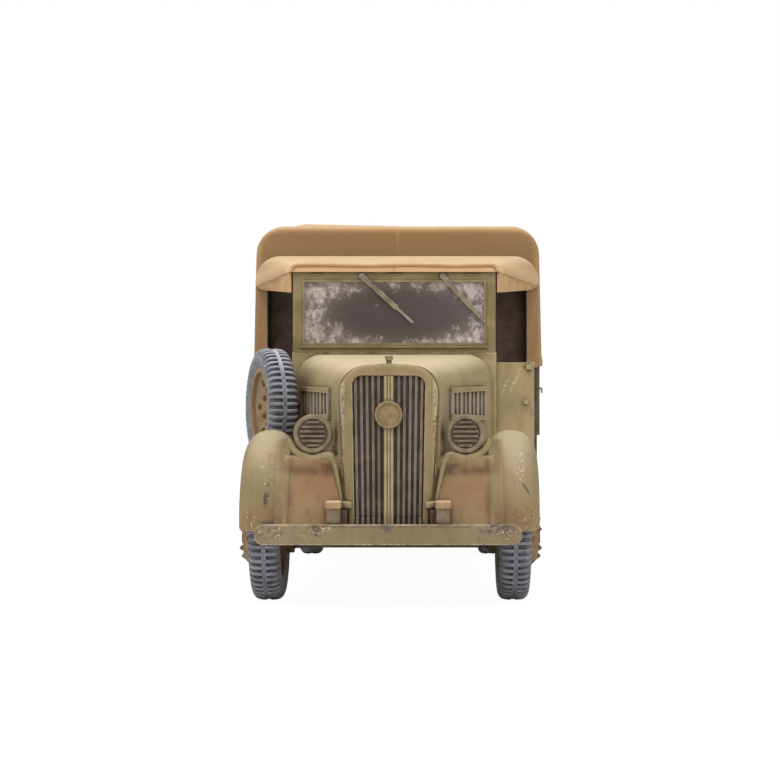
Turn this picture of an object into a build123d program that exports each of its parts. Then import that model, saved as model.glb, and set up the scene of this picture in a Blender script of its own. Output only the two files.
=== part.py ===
from build123d import *
import math
import os

os.makedirs("parts", exist_ok=True)

# A 1:56 scale model of a soft-top military cargo truck of the late 1930s, in millimetres.
# The front faces -Y, +X is the vehicle's left, +Z is up, and the origin lies on the ground
# under the middle of the model. Only the four road wheels move: they turn on their stubs.

# ---- Overall layout ---------------------------------------------------------------------
FRONT_OVERHANG = 14.0  # front axle to the bumper's face
WHEELBASE = 60.8
REAR_OVERHANG = 19.2  # rear axle to the end of the tow jaw
TRACK = 27.4

# ---- Fits -------------------------------------------------------------------------------
SEAT_GAP = 0.03  # glue gap between pieces that seat on each other
RUNNING_GAP = 0.08  # between a stub axle and its wheel's bore, all round

# ---- Wheels -----------------------------------------------------------------------------
TYRE_DIAMETER = 14.1
TYRE_WIDTH = 3.5
TYRE_SHOULDER = 0.5
TYRE_CORD_DROP = 1.35  # tread to the widest point of the side wall
RIM_RADIUS = 4.75
RIM_INSET = 0.3  # rim edge inside the tyre's side
RIM_WALL = 0.45
DISC_WALL = 0.5
DISC_CROWN_RADIUS = 2.5
FRONT_DISC_STANDOFF = 1.0  # the front discs stand out past the tyre
REAR_DISC_DISH = 1.5  # the rear and spare discs lie this far inside it
HUB_RADIUS = 1.1
HUB_CAP_HEIGHT = 0.35
HUB_CAP_RADIUS = 0.8
HUB_INNER_END = 0.6  # hub past the wheel's middle plane, inward
STUB_RADIUS = 0.5
HAND_HOLES = 6
HAND_HOLE_RADIUS = 0.42
HAND_HOLE_CIRCLE = 3.3

# ---- Axles, springs and frame -----------------------------------------------------------
RAIL_SPACING = 11.3  # between the rails' middles
RAIL_WIDTH = 1.2
RAIL_HEIGHT = 2.45
RAIL_BOTTOM = 9.3
RAIL_WEB = 0.35
RAIL_KICK = 1.4  # rise of the rails over the rear axle
RAIL_KICK_START = 37.4  # behind the front axle
RAIL_KICK_LENGTH = 4.0
CROSSMEMBER_DEPTH = 1.0
CROSSMEMBER_HEIGHT = 1.6
BEAM_HEIGHT = 1.2
BEAM_DEPTH = 1.0
BEAM_DROP = 0.55  # beam's middle below the wheel centres
DRUM_RADIUS = 1.75
DRUM_WIDTH = 0.85
DRUM_GAP = 0.15  # drum to the tyre's inner side
KINGPIN_RADIUS = 0.6
KINGPIN_HEIGHT = 2.4
ARM_LENGTH = 2.4
REAR_TUBE_RADIUS = 0.8
DIFFERENTIAL_RADIUS = 2.1
LEAF_WIDTH = 1.1
LEAF_THICKNESS = 0.34
FRONT_SPRING_HALF = 8.0
REAR_SPRING_HALF = 10.5
SPRING_ARC_RADIUS = 72.0

# ---- Bumper -----------------------------------------------------------------------------
BUMPER_LENGTH = 27.8
BUMPER_HEIGHT = 2.1
BUMPER_THICKNESS = 0.8
BUMPER_CENTRE_Z = 8.3
BUMPER_IRON_WIDTH = 1.0
BUMPER_IRON_LENGTH = 2.6

# ---- Front mudguards --------------------------------------------------------------------
GUARD_OUTER_X = 16.2
GUARD_WIDTH = 5.5
GUARD_TOP_Z = 19.15
GUARD_CROWN_BEHIND = -0.5  # crown behind the front axle
GUARD_FRONT_RADIUS = 9.75
GUARD_FRONT_SWEEP = 96.0
GUARD_REAR_RADIUS = 10.5
GUARD_REAR_SWEEP = 50.0
GUARD_TAIL_Z = 9.1
GUARD_ROLL_RADIUS = 2.6
GUARD_SKIRT = 3.7  # crown to the edge of the side skirts
GUARD_WALL = 0.6
LEDGE_Z = 16.3  # flat ledge that carries the headlamp
LEDGE_THICKNESS = 0.9
LEDGE_FRONT_BEHIND = -8.4
LEDGE_ROLL_RADIUS = 0.75
APRON_FOOT_BEHIND = -11.3
APRON_FOOT_Z = 9.0
APRON_TOP_BEHIND = -8.1
APRON_WALL = 0.6
VALANCE_WALL = 0.5
VALANCE_END = 2.0  # before the cab's front

# ---- Radiator and bonnet ----------------------------------------------------------------
SHELL_FRONT_BEHIND = -11.2
SHELL_DEPTH = 1.9
SHELL_TOP_Z = 26.2
SHELL_WAIST_Z = 22.4
SHELL_CROWN = 0.35  # rise of the top towards its middle
SHELL_CORNER = 3.1
SHELL_BOTTOM_Z = 9.0
SHELL_TOP_HALF = 5.2
SHELL_BOTTOM_HALF = 4.4
SHELL_EDGE_RADIUS = 0.55
GRILLE_TOP_Z = 24.9
GRILLE_BOTTOM_Z = 9.7
GRILLE_TOP_HALF = 3.87
GRILLE_BOTTOM_HALF = 3.6
GRILLE_CORNER = 1.05
GRILLE_RECESS = 0.55
GRILLE_BACK_WALL = 0.4
GRILLE_RIBS_PER_SIDE = 5
GRILLE_RIB_WIDTH = 0.26
GRILLE_RIB_HEIGHT = 0.35
GRILLE_BAR_WIDTH = 0.95
BADGE_RADIUS = 1.45
BADGE_Z = 20.75
BADGE_RIM = 0.2
FILLER_RADIUS = 0.42
FILLER_HEIGHT = 0.8
BONNET_FRONT_HALF = 5.4
BONNET_REAR_HALF = 12.1
BONNET_REAR_TOP_Z = 28.5
BONNET_WALL = 0.6
BONNET_FRONT_CORNER = 2.9
BONNET_REAR_CORNER = 3.1
LOUVRE_COUNT = 9
LOUVRE_BAND_START = 4.2  # along the bonnet's side, from its front edge
LOUVRE_PITCH = 2.05
LOUVRE_WIDTH = 1.1
LOUVRE_NARROW = 0.6  # share of that for every second one
LOUVRE_HEIGHT = 0.32  # how far a louvre stands out
LOUVRE_FOOT_Z = 20.9
LOUVRE_TOP_FRONT_Z = 23.2
LOUVRE_TOP_REAR_Z = 23.9
LOUVRE_RAIL = 0.55
SCUTTLE_BEHIND = 15.9  # front of the scuttle behind the front axle

# ---- Parts under the floor --------------------------------------------------------------
REAR_GUARD_START = 12  # degrees, from the rear
REAR_GUARD_SWEEP = 156  # degrees
BOARD_BRACKETS = (0.29, 0.93)  # shares of the running board's length
TANK_DROP = 0.9  # tank and tool box below the rails
SHAFT_RISE = 0.3  # front end of the shaft above the rails' bottom

# ---- Engine -----------------------------------------------------------------------------
ENGINE_WIDTH = 6.4
ENGINE_LENGTH = 15.0
ENGINE_HEIGHT = 10.6
ENGINE_BEHIND = 1.0  # its middle behind the front axle
ENGINE_DROP = 0.6  # below the rails
GEARBOX_WIDTH = 4.0
GEARBOX_HEIGHT = 2.6
GEARBOX_LENGTH = 8.6
CORE_HALF = 4.6  # radiator core behind the shell
CORE_DEPTH = 1.6
CORE_LAP = 0.3  # the core reaches this far into the shell
CORE_TOP_Z = 22.0

# ---- Headlamps --------------------------------------------------------------------------
LAMP_X = 8.15
LAMP_Z = 18.75
LAMP_BEHIND = -9.2  # front face of the rim
LAMP_RADIUS = 2.1
LAMP_OPENING = 1.55
LAMP_RECESS = 0.3
LAMP_COVER_WALL = 0.4
LAMP_RIM_DEPTH = 0.8
LAMP_DEPTH = 2.7
LAMP_STALK_RADIUS = 0.45
LAMP_SLATS = 6
LAMP_SLAT_PITCH = 0.5

# ---- Scuttle, cab and windscreen --------------------------------------------------------
SCUTTLE_HALF = 12.65
SCUTTLE_TOP_Z = 28.75
SCUTTLE_WALL = 0.7
CAB_HALF = 17.6
CAB_FRONT_BEHIND = 19.2
CAB_SIDE_TOP_Z = 27.7
CAB_SIDE_LOW_Z = 20.8
CAB_SIDE_CORNER = 1.2
CAB_REAR_BEHIND = 37.0
CAB_WALL = 0.8
CAB_FLOOR_THICKNESS = 0.7
PEG_RADIUS = 0.3
PEG_IN = 1.1  # peg on the scuttle's panel, from its outer edge
PEG_DROP = 5.0
CLIP_WIDTH = 0.7
CLIP_HEIGHT = 0.6
WINDSCREEN_HALF = 12.55
WINDSCREEN_HEIGHT = 9.9
WINDSCREEN_DEPTH = 0.9
WINDSCREEN_SIDE_BAR = 1.25
WINDSCREEN_TOP_BAR = 1.05
WINDSCREEN_BOTTOM_BAR = 0.95
GLASS_THICKNESS = 0.35
GLASS_RECESS = 0.2
WIPER_WIDTH = 0.6
WIPER_BLADE_WIDTH = 0.32
WIPER_BAR_SHARE = 0.68  # of the length, the broad bar
WIPER_PIVOT_DROP = 0.5
WIPER_THICKNESS = 0.28
DASH_HEIGHT = 3.2
DASH_THICKNESS = 0.6
STEERING_X = -7.6
STEERING_WHEEL_RADIUS = 3.3
STEERING_RIM_RADIUS = 0.28
SEAT_WIDTH = 7.6
SEAT_LENGTH = 7.8
SEAT_SPACING = 15.2
SEAT_BASE_HEIGHT = 3.4
SEAT_CUSHION = 1.6
SEAT_BACK_HEIGHT = 8.2
SEAT_BACK_THICKNESS = 1.4

# ---- Cab hood ---------------------------------------------------------------------------
HOOD_WALL = 0.6
HOOD_FRONT_HALF = 12.9
HOOD_FRONT_TOP_Z = 39.7
HOOD_REAR_HALF = 19.25
HOOD_REAR_TOP_Z = 42.8
HOOD_CORNER = 3.4
HOOD_FULL_BEHIND = 33.4  # where the hood reaches its full section
HOOD_HEADER = 1.4
HOOD_LEG = 1.6

# ---- Inside the cab --------------------------------------------------------------------
DIAL_X = 1.6
DIAL_DROP = 2.3  # below the scuttle's top
DIAL_RADIUS = 0.85
DIAL_RELIEF = 0.3
COLUMN_TOP_BACK = 5.2  # behind the cab's front
COLUMN_TOP_Z = 25.2
COLUMN_FOOT_BACK = 0.8  # behind the dashboard's front
COLUMN_CLEARANCE = 0.5
COLUMN_RADIUS = 0.4
STEERING_SPOKES = 3
STEERING_BOSS_RADIUS = 0.7
LEVER_BACK = 3.4  # behind the dashboard's front
LEVER_RADIUS = 0.25
SEAT_REAR_GAP = 0.6
SEAT_EDGE_RADIUS = 0.4

# ---- Cargo body -------------------------------------------------------------------------
BODY_HALF = 19.85
BODY_FRONT_BEHIND = 39.2
BODY_REAR_BEHIND = 78.6
BODY_FLOOR_Z = 19.4  # top of the floor
FLOOR_THICKNESS = 0.9
LONG_BEARER_WIDTH = 1.2
BEARER_START = 1.2  # behind the end of the rails' rise
CROSS_BEARER_HEIGHT = 2.6
CROSS_BEARER_DEPTH = 1.3
CROSS_BEARERS = 6
BOARD_TOP_Z = 28.1
BOARD_THICKNESS = 0.8
BOARD_COUNT = 3
BOARD_GROOVE = 0.22
STAKE_THICKNESS = 0.3
STAKE_WIDTH = 1.0
STAKES_PER_SIDE = 5
HEADBOARD_IRON_COUNT = 3
TAILBOARD_IRON_COUNT = 4
REAR_GUARD_WIDTH = 4.6
REAR_GUARD_WALL = 0.4
REAR_GUARD_GAP = 0.35  # guard's crown below the cross bearers

# ---- Tilt -------------------------------------------------------------------------------
TILT_HALF = BODY_HALF + 0.15
TILT_WALL = 0.65
TILT_FRONT_BEHIND = 38.0
TILT_REAR_BEHIND = 79.3
TILT_FRONT_TOP_Z = 47.5
TILT_CROWN_TOP_Z = 49.0
TILT_CROWN_BEHIND = 51.5
TILT_REAR_TOP_Z = 48.4
TILT_CORNER = 3.9
TILT_LEAN = 0.35  # the sides lean in by this much
TILT_RIM = 0.9  # rounding of the front edge
HOOP_WIDTH = 0.6
HOOP_DEPTH = 0.7
HOOP_CLEARANCE = 0.15  # below the cover, where the roof slopes

# ---- Underside fittings -----------------------------------------------------------------
RUNNING_BOARD_THICKNESS = 0.7
RUNNING_BOARD_INNER = 11.4
AXLE_TO_BOARD = 9.6
TANK_WIDTH = 4.2
TANK_HEIGHT = 4.4
TANK_LENGTH = 9.0
TANK_BEHIND = 24.0
BOX_WIDTH = 3.6
BOX_HEIGHT = 4.0
BOX_LENGTH = 8.0
BOX_BEHIND = 24.5
SHAFT_RADIUS = 0.55
SILENCER_RADIUS = 1.0
SILENCER_LENGTH = 8.0
SILENCER_BEHIND = 19.0
PIPE_RADIUS = 0.35
PIPE_LENGTH = 72.0
TAIL_LAMP_RADIUS = 0.75
TAIL_LAMP_LENGTH = 1.3
TAIL_LAMP_IN = 4.0  # from the inner face of the side boards
TOW_PIN_RADIUS = 0.55
TOW_JAW_WIDTH = 2.4
TOW_JAW_HEIGHT = 2.2
TOW_JAW_LENGTH = 2.6

# ---- Spare wheel ------------------------------------------------------------------------
SPARE_X = 14.8  # on the vehicle's right, so at -X
SPARE_BEHIND = 11.4
SPARE_Z = 21.95
SPARE_TURN = 20.0  # degrees, its outer face turned towards the front
CARRIER_PLATE = 0.45
CARRIER_PLATE_RADIUS = 1.1
CARRIER_ARM = 0.5

# ---- Places worked out from the sizes above ---------------------------------------------
overall_length = FRONT_OVERHANG + WHEELBASE + REAR_OVERHANG
front_axle_y = FRONT_OVERHANG - overall_length / 2
rear_axle_y = front_axle_y + WHEELBASE
axle_z = TYRE_DIAMETER / 2
tyre_radius = TYRE_DIAMETER / 2
rail_x = RAIL_SPACING / 2
rail_top_z = RAIL_BOTTOM + RAIL_HEIGHT
rear_rail_top_z = rail_top_z + RAIL_KICK
bumper_front_y = front_axle_y - FRONT_OVERHANG
bumper_back_y = bumper_front_y + BUMPER_THICKNESS
rail_front_y = bumper_back_y + SEAT_GAP
frame_rear_y = rear_axle_y + REAR_OVERHANG - TOW_JAW_LENGTH
bonnet_front_y = front_axle_y + SHELL_FRONT_BEHIND + SHELL_DEPTH + SEAT_GAP
scuttle_front_y = front_axle_y + SCUTTLE_BEHIND
bonnet_rear_y = scuttle_front_y - SEAT_GAP
guard_inner_x = GUARD_OUTER_X - GUARD_WIDTH
cab_front_y = front_axle_y + CAB_FRONT_BEHIND
cab_rear_y = front_axle_y + CAB_REAR_BEHIND
cab_floor_z = rail_top_z + SEAT_GAP + CAB_FLOOR_THICKNESS
screen_bottom_z = SCUTTLE_TOP_Z + SEAT_GAP
screen_top_z = screen_bottom_z + WINDSCREEN_HEIGHT
hood_bottom_z = screen_top_z + SEAT_GAP
body_front_y = front_axle_y + BODY_FRONT_BEHIND
body_rear_y = front_axle_y + BODY_REAR_BEHIND
floor_bottom_z = BODY_FLOOR_Z - FLOOR_THICKNESS
cross_bearer_z = floor_bottom_z - CROSS_BEARER_HEIGHT


def write_piece(piece, label):
    """Label a finished piece and write it as its own STEP file."""
    piece.label = label
    export_step(piece, f"parts/{label}.step")


def behind(distance):
    """Y of a place that far behind the front axle."""
    return front_axle_y + distance


# ---- Road wheels ------------------------------------------------------------------------
# name, side (+1 = +X), y of the axle, whether the disc stands out past the tyre
WHEELS = [
    ("front_left", 1, front_axle_y, True),
    ("front_right", -1, front_axle_y, True),
    ("rear_left", 1, rear_axle_y, False),
    ("rear_right", -1, rear_axle_y, False),
]


def wheel_plane(side, y):
    """Profile plane of a road wheel: its x runs outward along the axle, its y upward."""
    return Plane(
        origin=(side * TRACK / 2, y, axle_z), x_dir=(side, 0, 0), z_dir=(0, -side, 0)
    )


def disc_crown(stands_out):
    """Distance of the disc's flat crown from the wheel's middle plane."""
    if stands_out:
        return TYRE_WIDTH / 2 + FRONT_DISC_STANDOFF
    return TYRE_WIDTH / 2 - REAR_DISC_DISH


def bore_end(stands_out):
    """How far out from the middle plane a hub's blind bore reaches."""
    return disc_crown(stands_out) - DISC_WALL / 2


def tyre_outline():
    """Half section of a tyre: (out from the middle plane, radius)."""
    half = TYRE_WIDTH / 2
    bead_half = half - RIM_INSET
    widest = tyre_radius - TYRE_CORD_DROP
    right = [
        (half - TYRE_SHOULDER, tyre_radius),
        (half - TYRE_SHOULDER / 5, tyre_radius - TYRE_SHOULDER),
        (half, widest),
        (bead_half, RIM_RADIUS),
    ]
    left = [(-across, radius) for across, radius in reversed(right)]
    return right + left


def disc_outline(stands_out):
    """Half section of rim, disc and hub: (out from the middle plane, radius)."""
    rim_half = TYRE_WIDTH / 2 - RIM_INSET
    rim_outer = RIM_RADIUS - SEAT_GAP
    rim_inner = rim_outer - RIM_WALL
    crown = disc_crown(stands_out)
    foot = rim_half - DISC_WALL
    bore_radius = STUB_RADIUS + RUNNING_GAP
    return [
        (-rim_half, rim_outer),
        (rim_half, rim_outer),
        (rim_half, rim_inner),
        (foot, rim_inner),
        (crown, DISC_CROWN_RADIUS),
        (crown, HUB_CAP_RADIUS),
        (crown + HUB_CAP_HEIGHT, HUB_CAP_RADIUS - HUB_CAP_HEIGHT / 4),
        (crown + HUB_CAP_HEIGHT, 0),
        (bore_end(stands_out), 0),
        (bore_end(stands_out), bore_radius),
        (-HUB_INNER_END, bore_radius),
        (-HUB_INNER_END, HUB_RADIUS),
        (crown - DISC_WALL, HUB_RADIUS),
        (crown - DISC_WALL, DISC_CROWN_RADIUS),
        (foot - DISC_WALL, rim_inner),
        (-rim_half, rim_inner),
    ]


def make_tyre(plane):
    """A tyre turned about its profile plane's x axis."""
    with BuildPart() as tyre:
        with BuildSketch(plane):
            with BuildLine():
                Polyline(*tyre_outline(), close=True)
            make_face()
        revolve(axis=Axis(plane.origin, plane.x_dir))
    return tyre.part


def make_wheel(plane, stands_out):
    """Rim, pierced disc and hub in one piece, turned about the profile plane's x axis."""
    face = Plane(origin=plane.origin, x_dir=plane.y_dir, z_dir=plane.x_dir)
    with BuildPart() as wheel:
        with BuildSketch(plane):
            with BuildLine():
                Polyline(*disc_outline(stands_out), close=True)
            make_face()
        revolve(axis=Axis(plane.origin, plane.x_dir))
        with BuildSketch(face.offset(-TYRE_WIDTH)):
            with PolarLocations(HAND_HOLE_CIRCLE, HAND_HOLES, start_angle=30):
                Circle(HAND_HOLE_RADIUS)
        extrude(amount=TYRE_WIDTH * 2, mode=Mode.SUBTRACT)
    return wheel.part


for wheel_name, wheel_side, wheel_y, wheel_stands_out in WHEELS:
    this_plane = wheel_plane(wheel_side, wheel_y)
    write_piece(make_tyre(this_plane), f"tyre_{wheel_name}")
    write_piece(make_wheel(this_plane, wheel_stands_out), f"wheel_{wheel_name}")

# ---- Spare wheel and its carrier --------------------------------------------------------
spare_turn = math.radians(SPARE_TURN)
spare_out = Vector(-math.cos(spare_turn), -math.sin(spare_turn), 0)
spare_centre = Vector(-SPARE_X, behind(SPARE_BEHIND), SPARE_Z)
spare_plane = Plane(
    origin=spare_centre, x_dir=spare_out, z_dir=spare_out.cross(Vector(0, 0, 1))
)
write_piece(make_tyre(spare_plane), "spare_tyre")
write_piece(make_wheel(spare_plane, False), "spare_wheel")

# ---- Front axle and steering knuckles ---------------------------------------------------
tyre_inner_x = TRACK / 2 - TYRE_WIDTH / 2
drum_outer_x = tyre_inner_x - DRUM_GAP
drum_inner_x = drum_outer_x - DRUM_WIDTH
kingpin_x = drum_inner_x - KINGPIN_RADIUS / 2
beam_end_x = kingpin_x - KINGPIN_RADIUS - SEAT_GAP
beam_z = axle_z - BEAM_DROP
beam_top_z = beam_z + BEAM_HEIGHT / 2

with BuildPart() as front_axle:
    with BuildSketch(Plane.YZ.offset(-beam_end_x)):
        with Locations((front_axle_y, beam_z)):
            Rectangle(BEAM_DEPTH, BEAM_HEIGHT)
    extrude(amount=2 * beam_end_x)
    with BuildSketch(Plane.XY.offset(beam_z)):
        with Locations((-rail_x, front_axle_y), (rail_x, front_axle_y)):
            Rectangle(LEAF_WIDTH + 0.3, BEAM_DEPTH + 0.8)
    extrude(amount=BEAM_HEIGHT / 2)
write_piece(front_axle.part, "front_axle")


def make_stub_end(side, y, stands_out, inner_x):
    """Brake drum and stub axle from inner_x out into the wheel's hub."""
    stub_end_x = TRACK / 2 + bore_end(stands_out) - RUNNING_GAP
    with BuildPart() as stub:
        with BuildSketch(Plane.YZ.offset(side * inner_x)):
            with Locations((y, axle_z)):
                Circle(DRUM_RADIUS)
        extrude(amount=side * (drum_outer_x - inner_x))
        with BuildSketch(Plane.YZ.offset(side * inner_x)):
            with Locations((y, axle_z)):
                Circle(STUB_RADIUS)
        extrude(amount=side * (stub_end_x - inner_x))
    return stub.part


with BuildPart() as steering_knuckles:
    for side in (-1, 1):
        add(make_stub_end(side, front_axle_y, True, drum_inner_x))
        with BuildSketch(Plane.XY.offset(axle_z - KINGPIN_HEIGHT / 2)):
            with Locations((side * kingpin_x, front_axle_y)):
                Circle(KINGPIN_RADIUS)
            with Locations((side * kingpin_x, front_axle_y + ARM_LENGTH / 2)):
                Rectangle(0.7, ARM_LENGTH)
        extrude(amount=0.6)
        with BuildSketch(Plane.XY.offset(axle_z - KINGPIN_HEIGHT / 2)):
            with Locations((side * kingpin_x, front_axle_y)):
                Circle(KINGPIN_RADIUS)
        extrude(amount=KINGPIN_HEIGHT)
write_piece(steering_knuckles.part, "steering_knuckles")

track_rod_radius = 0.3
track_rod_z = axle_z - KINGPIN_HEIGHT / 2 + 0.6 + track_rod_radius + SEAT_GAP
with BuildPart() as track_rod:
    with BuildSketch(Plane.YZ.offset(-kingpin_x - 0.4)):
        with Locations((front_axle_y + ARM_LENGTH - track_rod_radius, track_rod_z)):
            Circle(track_rod_radius)
    extrude(amount=2 * kingpin_x + 0.8)
write_piece(track_rod.part, "track_rod")

# ---- Rear axle --------------------------------------------------------------------------
with BuildPart() as rear_axle:
    for side in (-1, 1):
        add(make_stub_end(side, rear_axle_y, False, drum_inner_x))
    with BuildSketch(Plane.YZ.offset(-drum_inner_x - DRUM_WIDTH / 2)):
        with Locations((rear_axle_y, axle_z)):
            Circle(REAR_TUBE_RADIUS)
    extrude(amount=2 * drum_inner_x + DRUM_WIDTH)
    with Locations((0, rear_axle_y, axle_z)):
        Sphere(DIFFERENTIAL_RADIUS)
    with BuildSketch(Plane.XZ.offset(-rear_axle_y)):
        with Locations((0, axle_z)):
            Circle(DIFFERENTIAL_RADIUS * 0.45)
    extrude(amount=DIFFERENTIAL_RADIUS * 1.4)
write_piece(rear_axle.part, "rear_axle")

# ---- Leaf springs -----------------------------------------------------------------------
# share of the half length for each leaf, from the main leaf down
LEAF_SHARES = [1.0, 0.8, 0.58, 0.36]
pack_height = LEAF_THICKNESS * len(LEAF_SHARES)


def make_spring(x, y, seat_z, half_length):
    """A leaf pack that curves up to its ends and sits on its axle at seat_z."""
    centre_z = seat_z + pack_height - LEAF_THICKNESS + SPRING_ARC_RADIUS
    with BuildPart() as spring:
        for level, share in enumerate(LEAF_SHARES):
            upper = SPRING_ARC_RADIUS + LEAF_THICKNESS * (level - 1)
            lower = upper + LEAF_THICKNESS
            sweep = math.degrees(half_length * share / SPRING_ARC_RADIUS)
            with BuildSketch(Plane.YZ.offset(x - LEAF_WIDTH / 2)):
                with BuildLine():
                    top = CenterArc((y, centre_z), upper, -90 - sweep, 2 * sweep)
                    low = CenterArc((y, centre_z), lower, -90 - sweep, 2 * sweep)
                    Line(top @ 0, low @ 0)
                    Line(top @ 1, low @ 1)
                make_face()
            extrude(amount=LEAF_WIDTH)
    return spring.part


spring_seat_front = beam_top_z + SEAT_GAP
spring_seat_rear = axle_z + REAR_TUBE_RADIUS + SEAT_GAP
for spring_name, spring_y, spring_seat, spring_half in (
    ("front_springs", front_axle_y, spring_seat_front, FRONT_SPRING_HALF),
    ("rear_springs", rear_axle_y, spring_seat_rear, REAR_SPRING_HALF),
):
    with BuildPart() as springs:
        for side in (-1, 1):
            add(make_spring(side * rail_x, spring_y, spring_seat, spring_half))
    write_piece(springs.part, spring_name)

# ---- Chassis frame ----------------------------------------------------------------------
# behind the front axle, height of its foot above the front rail's bottom, its own height
CROSSMEMBERS = [
    (-8.6, 0.0, CROSSMEMBER_HEIGHT + 0.4),
    (18.0, RAIL_HEIGHT - 1.1, 1.0),
    (32.0, 0.4, CROSSMEMBER_HEIGHT),
    (44.0, RAIL_KICK + 0.4, CROSSMEMBER_HEIGHT),
    (54.5, RAIL_KICK + 0.4, CROSSMEMBER_HEIGHT),
    (70.0, RAIL_KICK + 0.4, CROSSMEMBER_HEIGHT),
]
kick_start_y = behind(RAIL_KICK_START)
kick_end_y = kick_start_y + RAIL_KICK_LENGTH
spring_rise = REAR_SPRING_HALF**2 / (2 * SPRING_ARC_RADIUS)
rear_spring_end_z = spring_seat_rear + pack_height + spring_rise
hanger_width = 0.8

with BuildPart() as chassis_frame:
    for side in (-1, 1):
        with BuildSketch(Plane.YZ.offset(side * rail_x - RAIL_WIDTH / 2)):
            with BuildLine():
                Polyline(
                    (rail_front_y, RAIL_BOTTOM + RAIL_HEIGHT * 0.25),
                    (rail_front_y, rail_top_z),
                    (kick_start_y, rail_top_z),
                    (kick_end_y, rear_rail_top_z),
                    (frame_rear_y, rear_rail_top_z),
                    (frame_rear_y, rear_rail_top_z - RAIL_HEIGHT),
                    (kick_end_y, rear_rail_top_z - RAIL_HEIGHT),
                    (kick_start_y, RAIL_BOTTOM),
                    (rail_front_y + RAIL_HEIGHT * 0.6, RAIL_BOTTOM),
                    close=True,
                )
            make_face()
        extrude(amount=RAIL_WIDTH)
        pocket_x = side * (rail_x - RAIL_WIDTH / 2)
        with BuildSketch(Plane.YZ.offset(pocket_x)):
            with BuildLine():
                Polyline(
                    (rail_front_y + 3, RAIL_BOTTOM + RAIL_WEB),
                    (rail_front_y + 3, rail_top_z - RAIL_WEB),
                    (kick_start_y, rail_top_z - RAIL_WEB),
                    (kick_end_y, rear_rail_top_z - RAIL_WEB),
                    (frame_rear_y - RAIL_WIDTH, rear_rail_top_z - RAIL_WEB),
                    (frame_rear_y - RAIL_WIDTH, rear_rail_top_z - RAIL_HEIGHT + RAIL_WEB),
                    (kick_end_y, rear_rail_top_z - RAIL_HEIGHT + RAIL_WEB),
                    (kick_start_y, RAIL_BOTTOM + RAIL_WEB),
                    close=True,
                )
            make_face()
        extrude(amount=side * (RAIL_WIDTH - RAIL_WEB), mode=Mode.SUBTRACT)
    for place, above, member_height in CROSSMEMBERS:
        with BuildSketch(Plane.XY.offset(RAIL_BOTTOM + above)):
            with Locations((0, behind(place))):
                Rectangle(RAIL_SPACING + RAIL_WIDTH - RAIL_WEB, CROSSMEMBER_DEPTH)
        extrude(amount=member_height)
    with BuildSketch(Plane.XY.offset(rear_rail_top_z - RAIL_HEIGHT)):
        with Locations((0, frame_rear_y - RAIL_WIDTH / 2)):
            Rectangle(RAIL_SPACING, RAIL_WIDTH)
    extrude(amount=RAIL_HEIGHT)
    for end in (-1, 1):
        hanger_y = rear_axle_y + end * (REAR_SPRING_HALF - hanger_width)
        with BuildSketch(Plane.XY.offset(rear_spring_end_z + SEAT_GAP)):
            with Locations((-rail_x, hanger_y), (rail_x, hanger_y)):
                Rectangle(LEAF_WIDTH, hanger_width)
        extrude(amount=rear_rail_top_z - RAIL_HEIGHT - rear_spring_end_z)
write_piece(chassis_frame.part, "chassis_frame")

# ---- Front bumper with its two irons ----------------------------------------------------
iron_top_z = RAIL_BOTTOM - SEAT_GAP
with BuildPart() as front_bumper:
    with BuildSketch(Plane.XZ.offset(-bumper_back_y)):
        with Locations((0, BUMPER_CENTRE_Z)):
            SlotOverall(BUMPER_LENGTH, BUMPER_HEIGHT)
    extrude(amount=BUMPER_THICKNESS)
    with BuildSketch(Plane.XY.offset(iron_top_z)):
        iron_y = bumper_back_y + BUMPER_IRON_LENGTH / 2
        with Locations((-rail_x, iron_y), (rail_x, iron_y)):
            Rectangle(BUMPER_IRON_WIDTH, BUMPER_IRON_LENGTH)
    extrude(amount=-(iron_top_z - BUMPER_CENTRE_Z + BUMPER_HEIGHT / 4))
write_piece(front_bumper.part, "front_bumper")

# ---- Front mudguards: rolled crown, lamp ledge, apron and engine valance ----------------
guard_y = behind(GUARD_CROWN_BEHIND)
guard_slope = math.radians(GUARD_REAR_SWEEP)
guard_front_axis = Axis((0, guard_y, GUARD_TOP_Z - GUARD_FRONT_RADIUS), (1, 0, 0))
guard_rear_axis = Axis((0, guard_y, GUARD_TOP_Z - GUARD_REAR_RADIUS), (-1, 0, 0))
knee_y = guard_y + GUARD_REAR_RADIUS * math.sin(guard_slope)
knee_z = GUARD_TOP_Z - GUARD_REAR_RADIUS * (1 - math.cos(guard_slope))
tail_length = (knee_z - GUARD_TAIL_Z + GUARD_SKIRT) / math.sin(guard_slope)
crown_plane = Plane(origin=(0, guard_y, GUARD_TOP_Z), x_dir=(1, 0, 0), z_dir=(0, -1, 0))
knee_plane = Plane(
    origin=(0, knee_y, knee_z),
    x_dir=(1, 0, 0),
    z_dir=(0, -math.cos(guard_slope), math.sin(guard_slope)),
)
bonnet_spread = (BONNET_REAR_HALF - BONNET_FRONT_HALF) / (bonnet_rear_y - bonnet_front_y)
ledge_outer_x = guard_inner_x + GUARD_WALL * 0.8


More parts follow.
